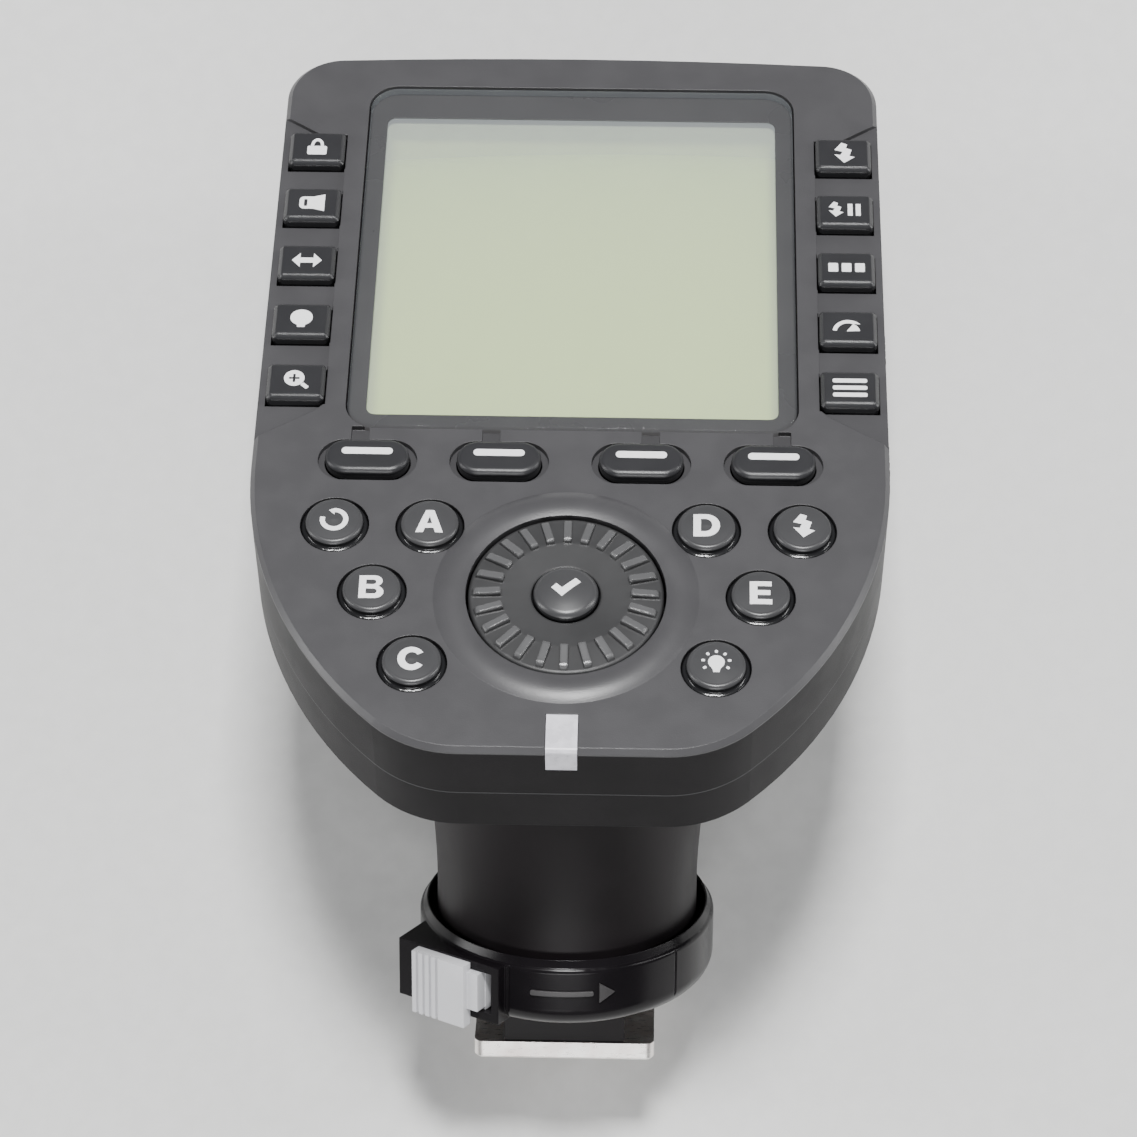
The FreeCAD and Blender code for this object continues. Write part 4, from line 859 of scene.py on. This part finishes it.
# ---------------------------------------------------------------- materials of the CAD nodes


def finish_nodes():
    """Gives every CAD node its material, by the record's material slots."""
    # each finish is a colour, a roughness and how much it gleams
    face = ((0.055, 0.054, 0.057), 0.36, 0.5)
    # the case's walls: the face's own plastic, painted far darker as painted shade
    wall = ((0.007, 0.006, 0.007), 0.45, 0.1)
    key_side = ((0.011, 0.011, 0.012), 0.18, 0.5)
    # the keys' satin tops are real, but their paler colour is a painted sheen
    lit_key_top = ((0.044, 0.044, 0.046), 0.33, 0.5)
    # the satin keys' tops: their paler colour is a painted sheen
    lit_soft_top = ((0.022, 0.022, 0.024), 0.34, 0.5)
    dial_disc = ((0.034, 0.034, 0.035), 0.4, 0.5)
    # the dial's ribs: their paler colour is a painted highlight
    lit_dial_rib = ((0.085, 0.085, 0.087), 0.25, 0.8)
    finishes = {
        "case_plastic": case_finish(wall, face),
        "neck_plastic": moulded("neck_plastic", (0.009, 0.007, 0.008), 0.48, 0.2, grain=0.12),
        "window_plastic": window_clear(),
        "display_glass": display_surface(),
        "white_plastic": moulded("white_plastic", (0.8, 0.81, 0.79), 0.5, worn=1.05),
        "amber_film": moulded("amber_film", (0.5, 0.24, 0.04), 0.3, mottle=0.08, worn=1.1),
        "circuit_board": board(),
        "grey_rubber": moulded("grey_rubber", (0.12, 0.125, 0.13), 0.7, worn=1.2),
        "chip_black": moulded("chip_black", (0.02, 0.02, 0.021), 0.45, worn=1.4),
        "shield_steel": metal("shield_steel", (0.6, 0.6, 0.58), 0.35),
        "red_plastic": frosted("red_plastic", (0.5, 0.02, 0.02), 0.25),
        "red_window": moulded("red_window", (0.07, 0.004, 0.006), 0.1, depth=0.0005, worn=1.3),
        "frosted_plastic": frosted("frosted_plastic", (0.70, 0.69, 0.74), 0.3),
        "gloss_black": two_finish(
            "gloss_black", key_side, lit_key_top, face_height, 0.35 * MM, 0.45 * MM,
            depth=0.0015, edge=0.08, worn=1.3,
        ),
        "satin_black": two_finish(
            "satin_black", key_side, lit_soft_top, face_height, 0.25 * MM, 0.6 * MM,
            depth=0.003, edge=0.3, worn=1.2,
        ),
        "cell_jacket": cell_jacket(),
        "nickel_plate": metal("nickel_plate", (0.66, 0.64, 0.6), 0.25),
        "black_rubber": moulded("black_rubber", (0.018, 0.018, 0.019), 0.62, grain=0.16, worn=1.4),
        "switch_plastic": moulded("switch_plastic", (0.03, 0.03, 0.032), 0.45, worn=1.5),
        "black_screw": metal("black_screw", (0.05, 0.05, 0.055), 0.35),
        "shoe_metal": metal(
            "shoe_metal", (1.0, 0.90, 0.86), 0.34, (0.08, 1, 1), grain=0.1, depth=0.003, matrix=RING
        ),
        "gold_contact": metal("gold_contact", (0.85, 0.62, 0.25), 0.2),
        "pin_steel": metal("pin_steel", (0.72, 0.72, 0.73), 0.18),
        "gloss_ring": moulded(
            "gloss_ring", (0.006, 0.005, 0.006), 0.2, 0.2, grain=0.5, depth=0.0015, worn=1.6
        ),
        "pale_plastic": moulded("pale_plastic", (0.60, 0.60, 0.62), 0.45, mottle=0.05, worn=1.1),
    }
    for subpart in frame["record"]["subparts"]:
        node = frame["nodes"][subpart["node"]]
        node.data.materials.clear()
        node.data.materials.append(finishes[subpart["material_slot"]])
    # the dial shares its slot with keys, but its ribs stand out from its disc, painted paler as a painted
    # highlight
    frame["nodes"]["select_dial"].data.materials[0] = two_finish(
        "dial_black", dial_disc, lit_dial_rib, face_height, 0.24 * MM, 0.6 * MM,
        depth=0.003, edge=0.3, worn=1.1,
    )
    return finishes


# ---------------------------------------------------------------- studio


def studio():
    """A pale floor and soft lights: one above, one low in front, and a tall one on each side."""
    half_floor = 2.5
    shape = bmesh.new()
    bmesh.ops.create_grid(shape, x_segments=8, y_segments=8, size=half_floor)
    mesh = bpy.data.meshes.new("studio_floor")
    shape.to_mesh(mesh)
    shape.free()
    mesh.materials.append(pale_floor())
    floor = bpy.data.objects.new("studio_floor", mesh)
    bpy.context.scene.collection.objects.link(floor)

    target = FACE.translation
    # each light's place from the dial, its width, its height and its power in watts
    lamps = {
        "ceiling_light": ((0.02, 0.27, 0.85), 0.18, 0.15, 13.0),
        "front_light": ((0.0, -0.75, 0.46), 0.5, 0.2, 4.2),
        "left_light": ((-0.8, 0.05, 0.34), 0.12, 0.6, 3.0),
        "right_light": ((0.8, 0.2, 0.4), 0.12, 0.6, 3.5),
    }
    for name, (place, wide, high, power) in lamps.items():
        data = bpy.data.lights.new(name, "AREA")
        data.shape = "RECTANGLE"
        data.size = wide
        data.size_y = high
        data.energy = power
        light = bpy.data.objects.new(name, data)
        light.location = Vector(place) + target
        light.rotation_euler = (target - light.location).to_track_quat("-Z", "Y").to_euler()
        bpy.context.scene.collection.objects.link(light)

    world = bpy.data.worlds.new("studio_world")
    world.use_nodes = True
    background = world.node_tree.nodes["Background"]
    background.inputs["Color"].default_value = (0.92, 0.95, 1.0, 1.0)
    background.inputs["Strength"].default_value = 0.16
    bpy.context.scene.world = world


def camera():
    """A long lens over the face, from the foot's side. Its place and turn are in the face frame."""
    place = Vector((7.6, -219.2, 284.4)) * MM
    pitch = math.radians(38.04)
    yaw = math.radians(1.18)
    roll = math.radians(0.88)
    data = bpy.data.cameras.new("camera")
    data.sensor_width = 36.0
    data.lens = 117.5
    data.clip_start = 0.01
    viewer = bpy.data.objects.new("camera", data)
    turn = Matrix.Rotation(pitch, 4, "X") @ Matrix.Rotation(yaw, 4, "Y")
    turn = turn @ Matrix.Rotation(roll, 4, "Z")
    viewer.matrix_world = FACE @ Matrix.Translation(place) @ turn
    bpy.context.scene.collection.objects.link(viewer)
    bpy.context.scene.camera = viewer


camera()
studio()
slots = finish_nodes()
white_ink = ink("white_ink", (0.97, 0.97, 0.98))
window_border(
    moulded("window_border", (0.044, 0.042, 0.043), 0.3, depth=0.001, mottle=0.05, worn=1.1)
)
key_legends(white_ink)
ring_arrow(moulded("ring_mark", (0.030, 0.028, 0.029), 0.4))
wall_marks(white_ink, slots)
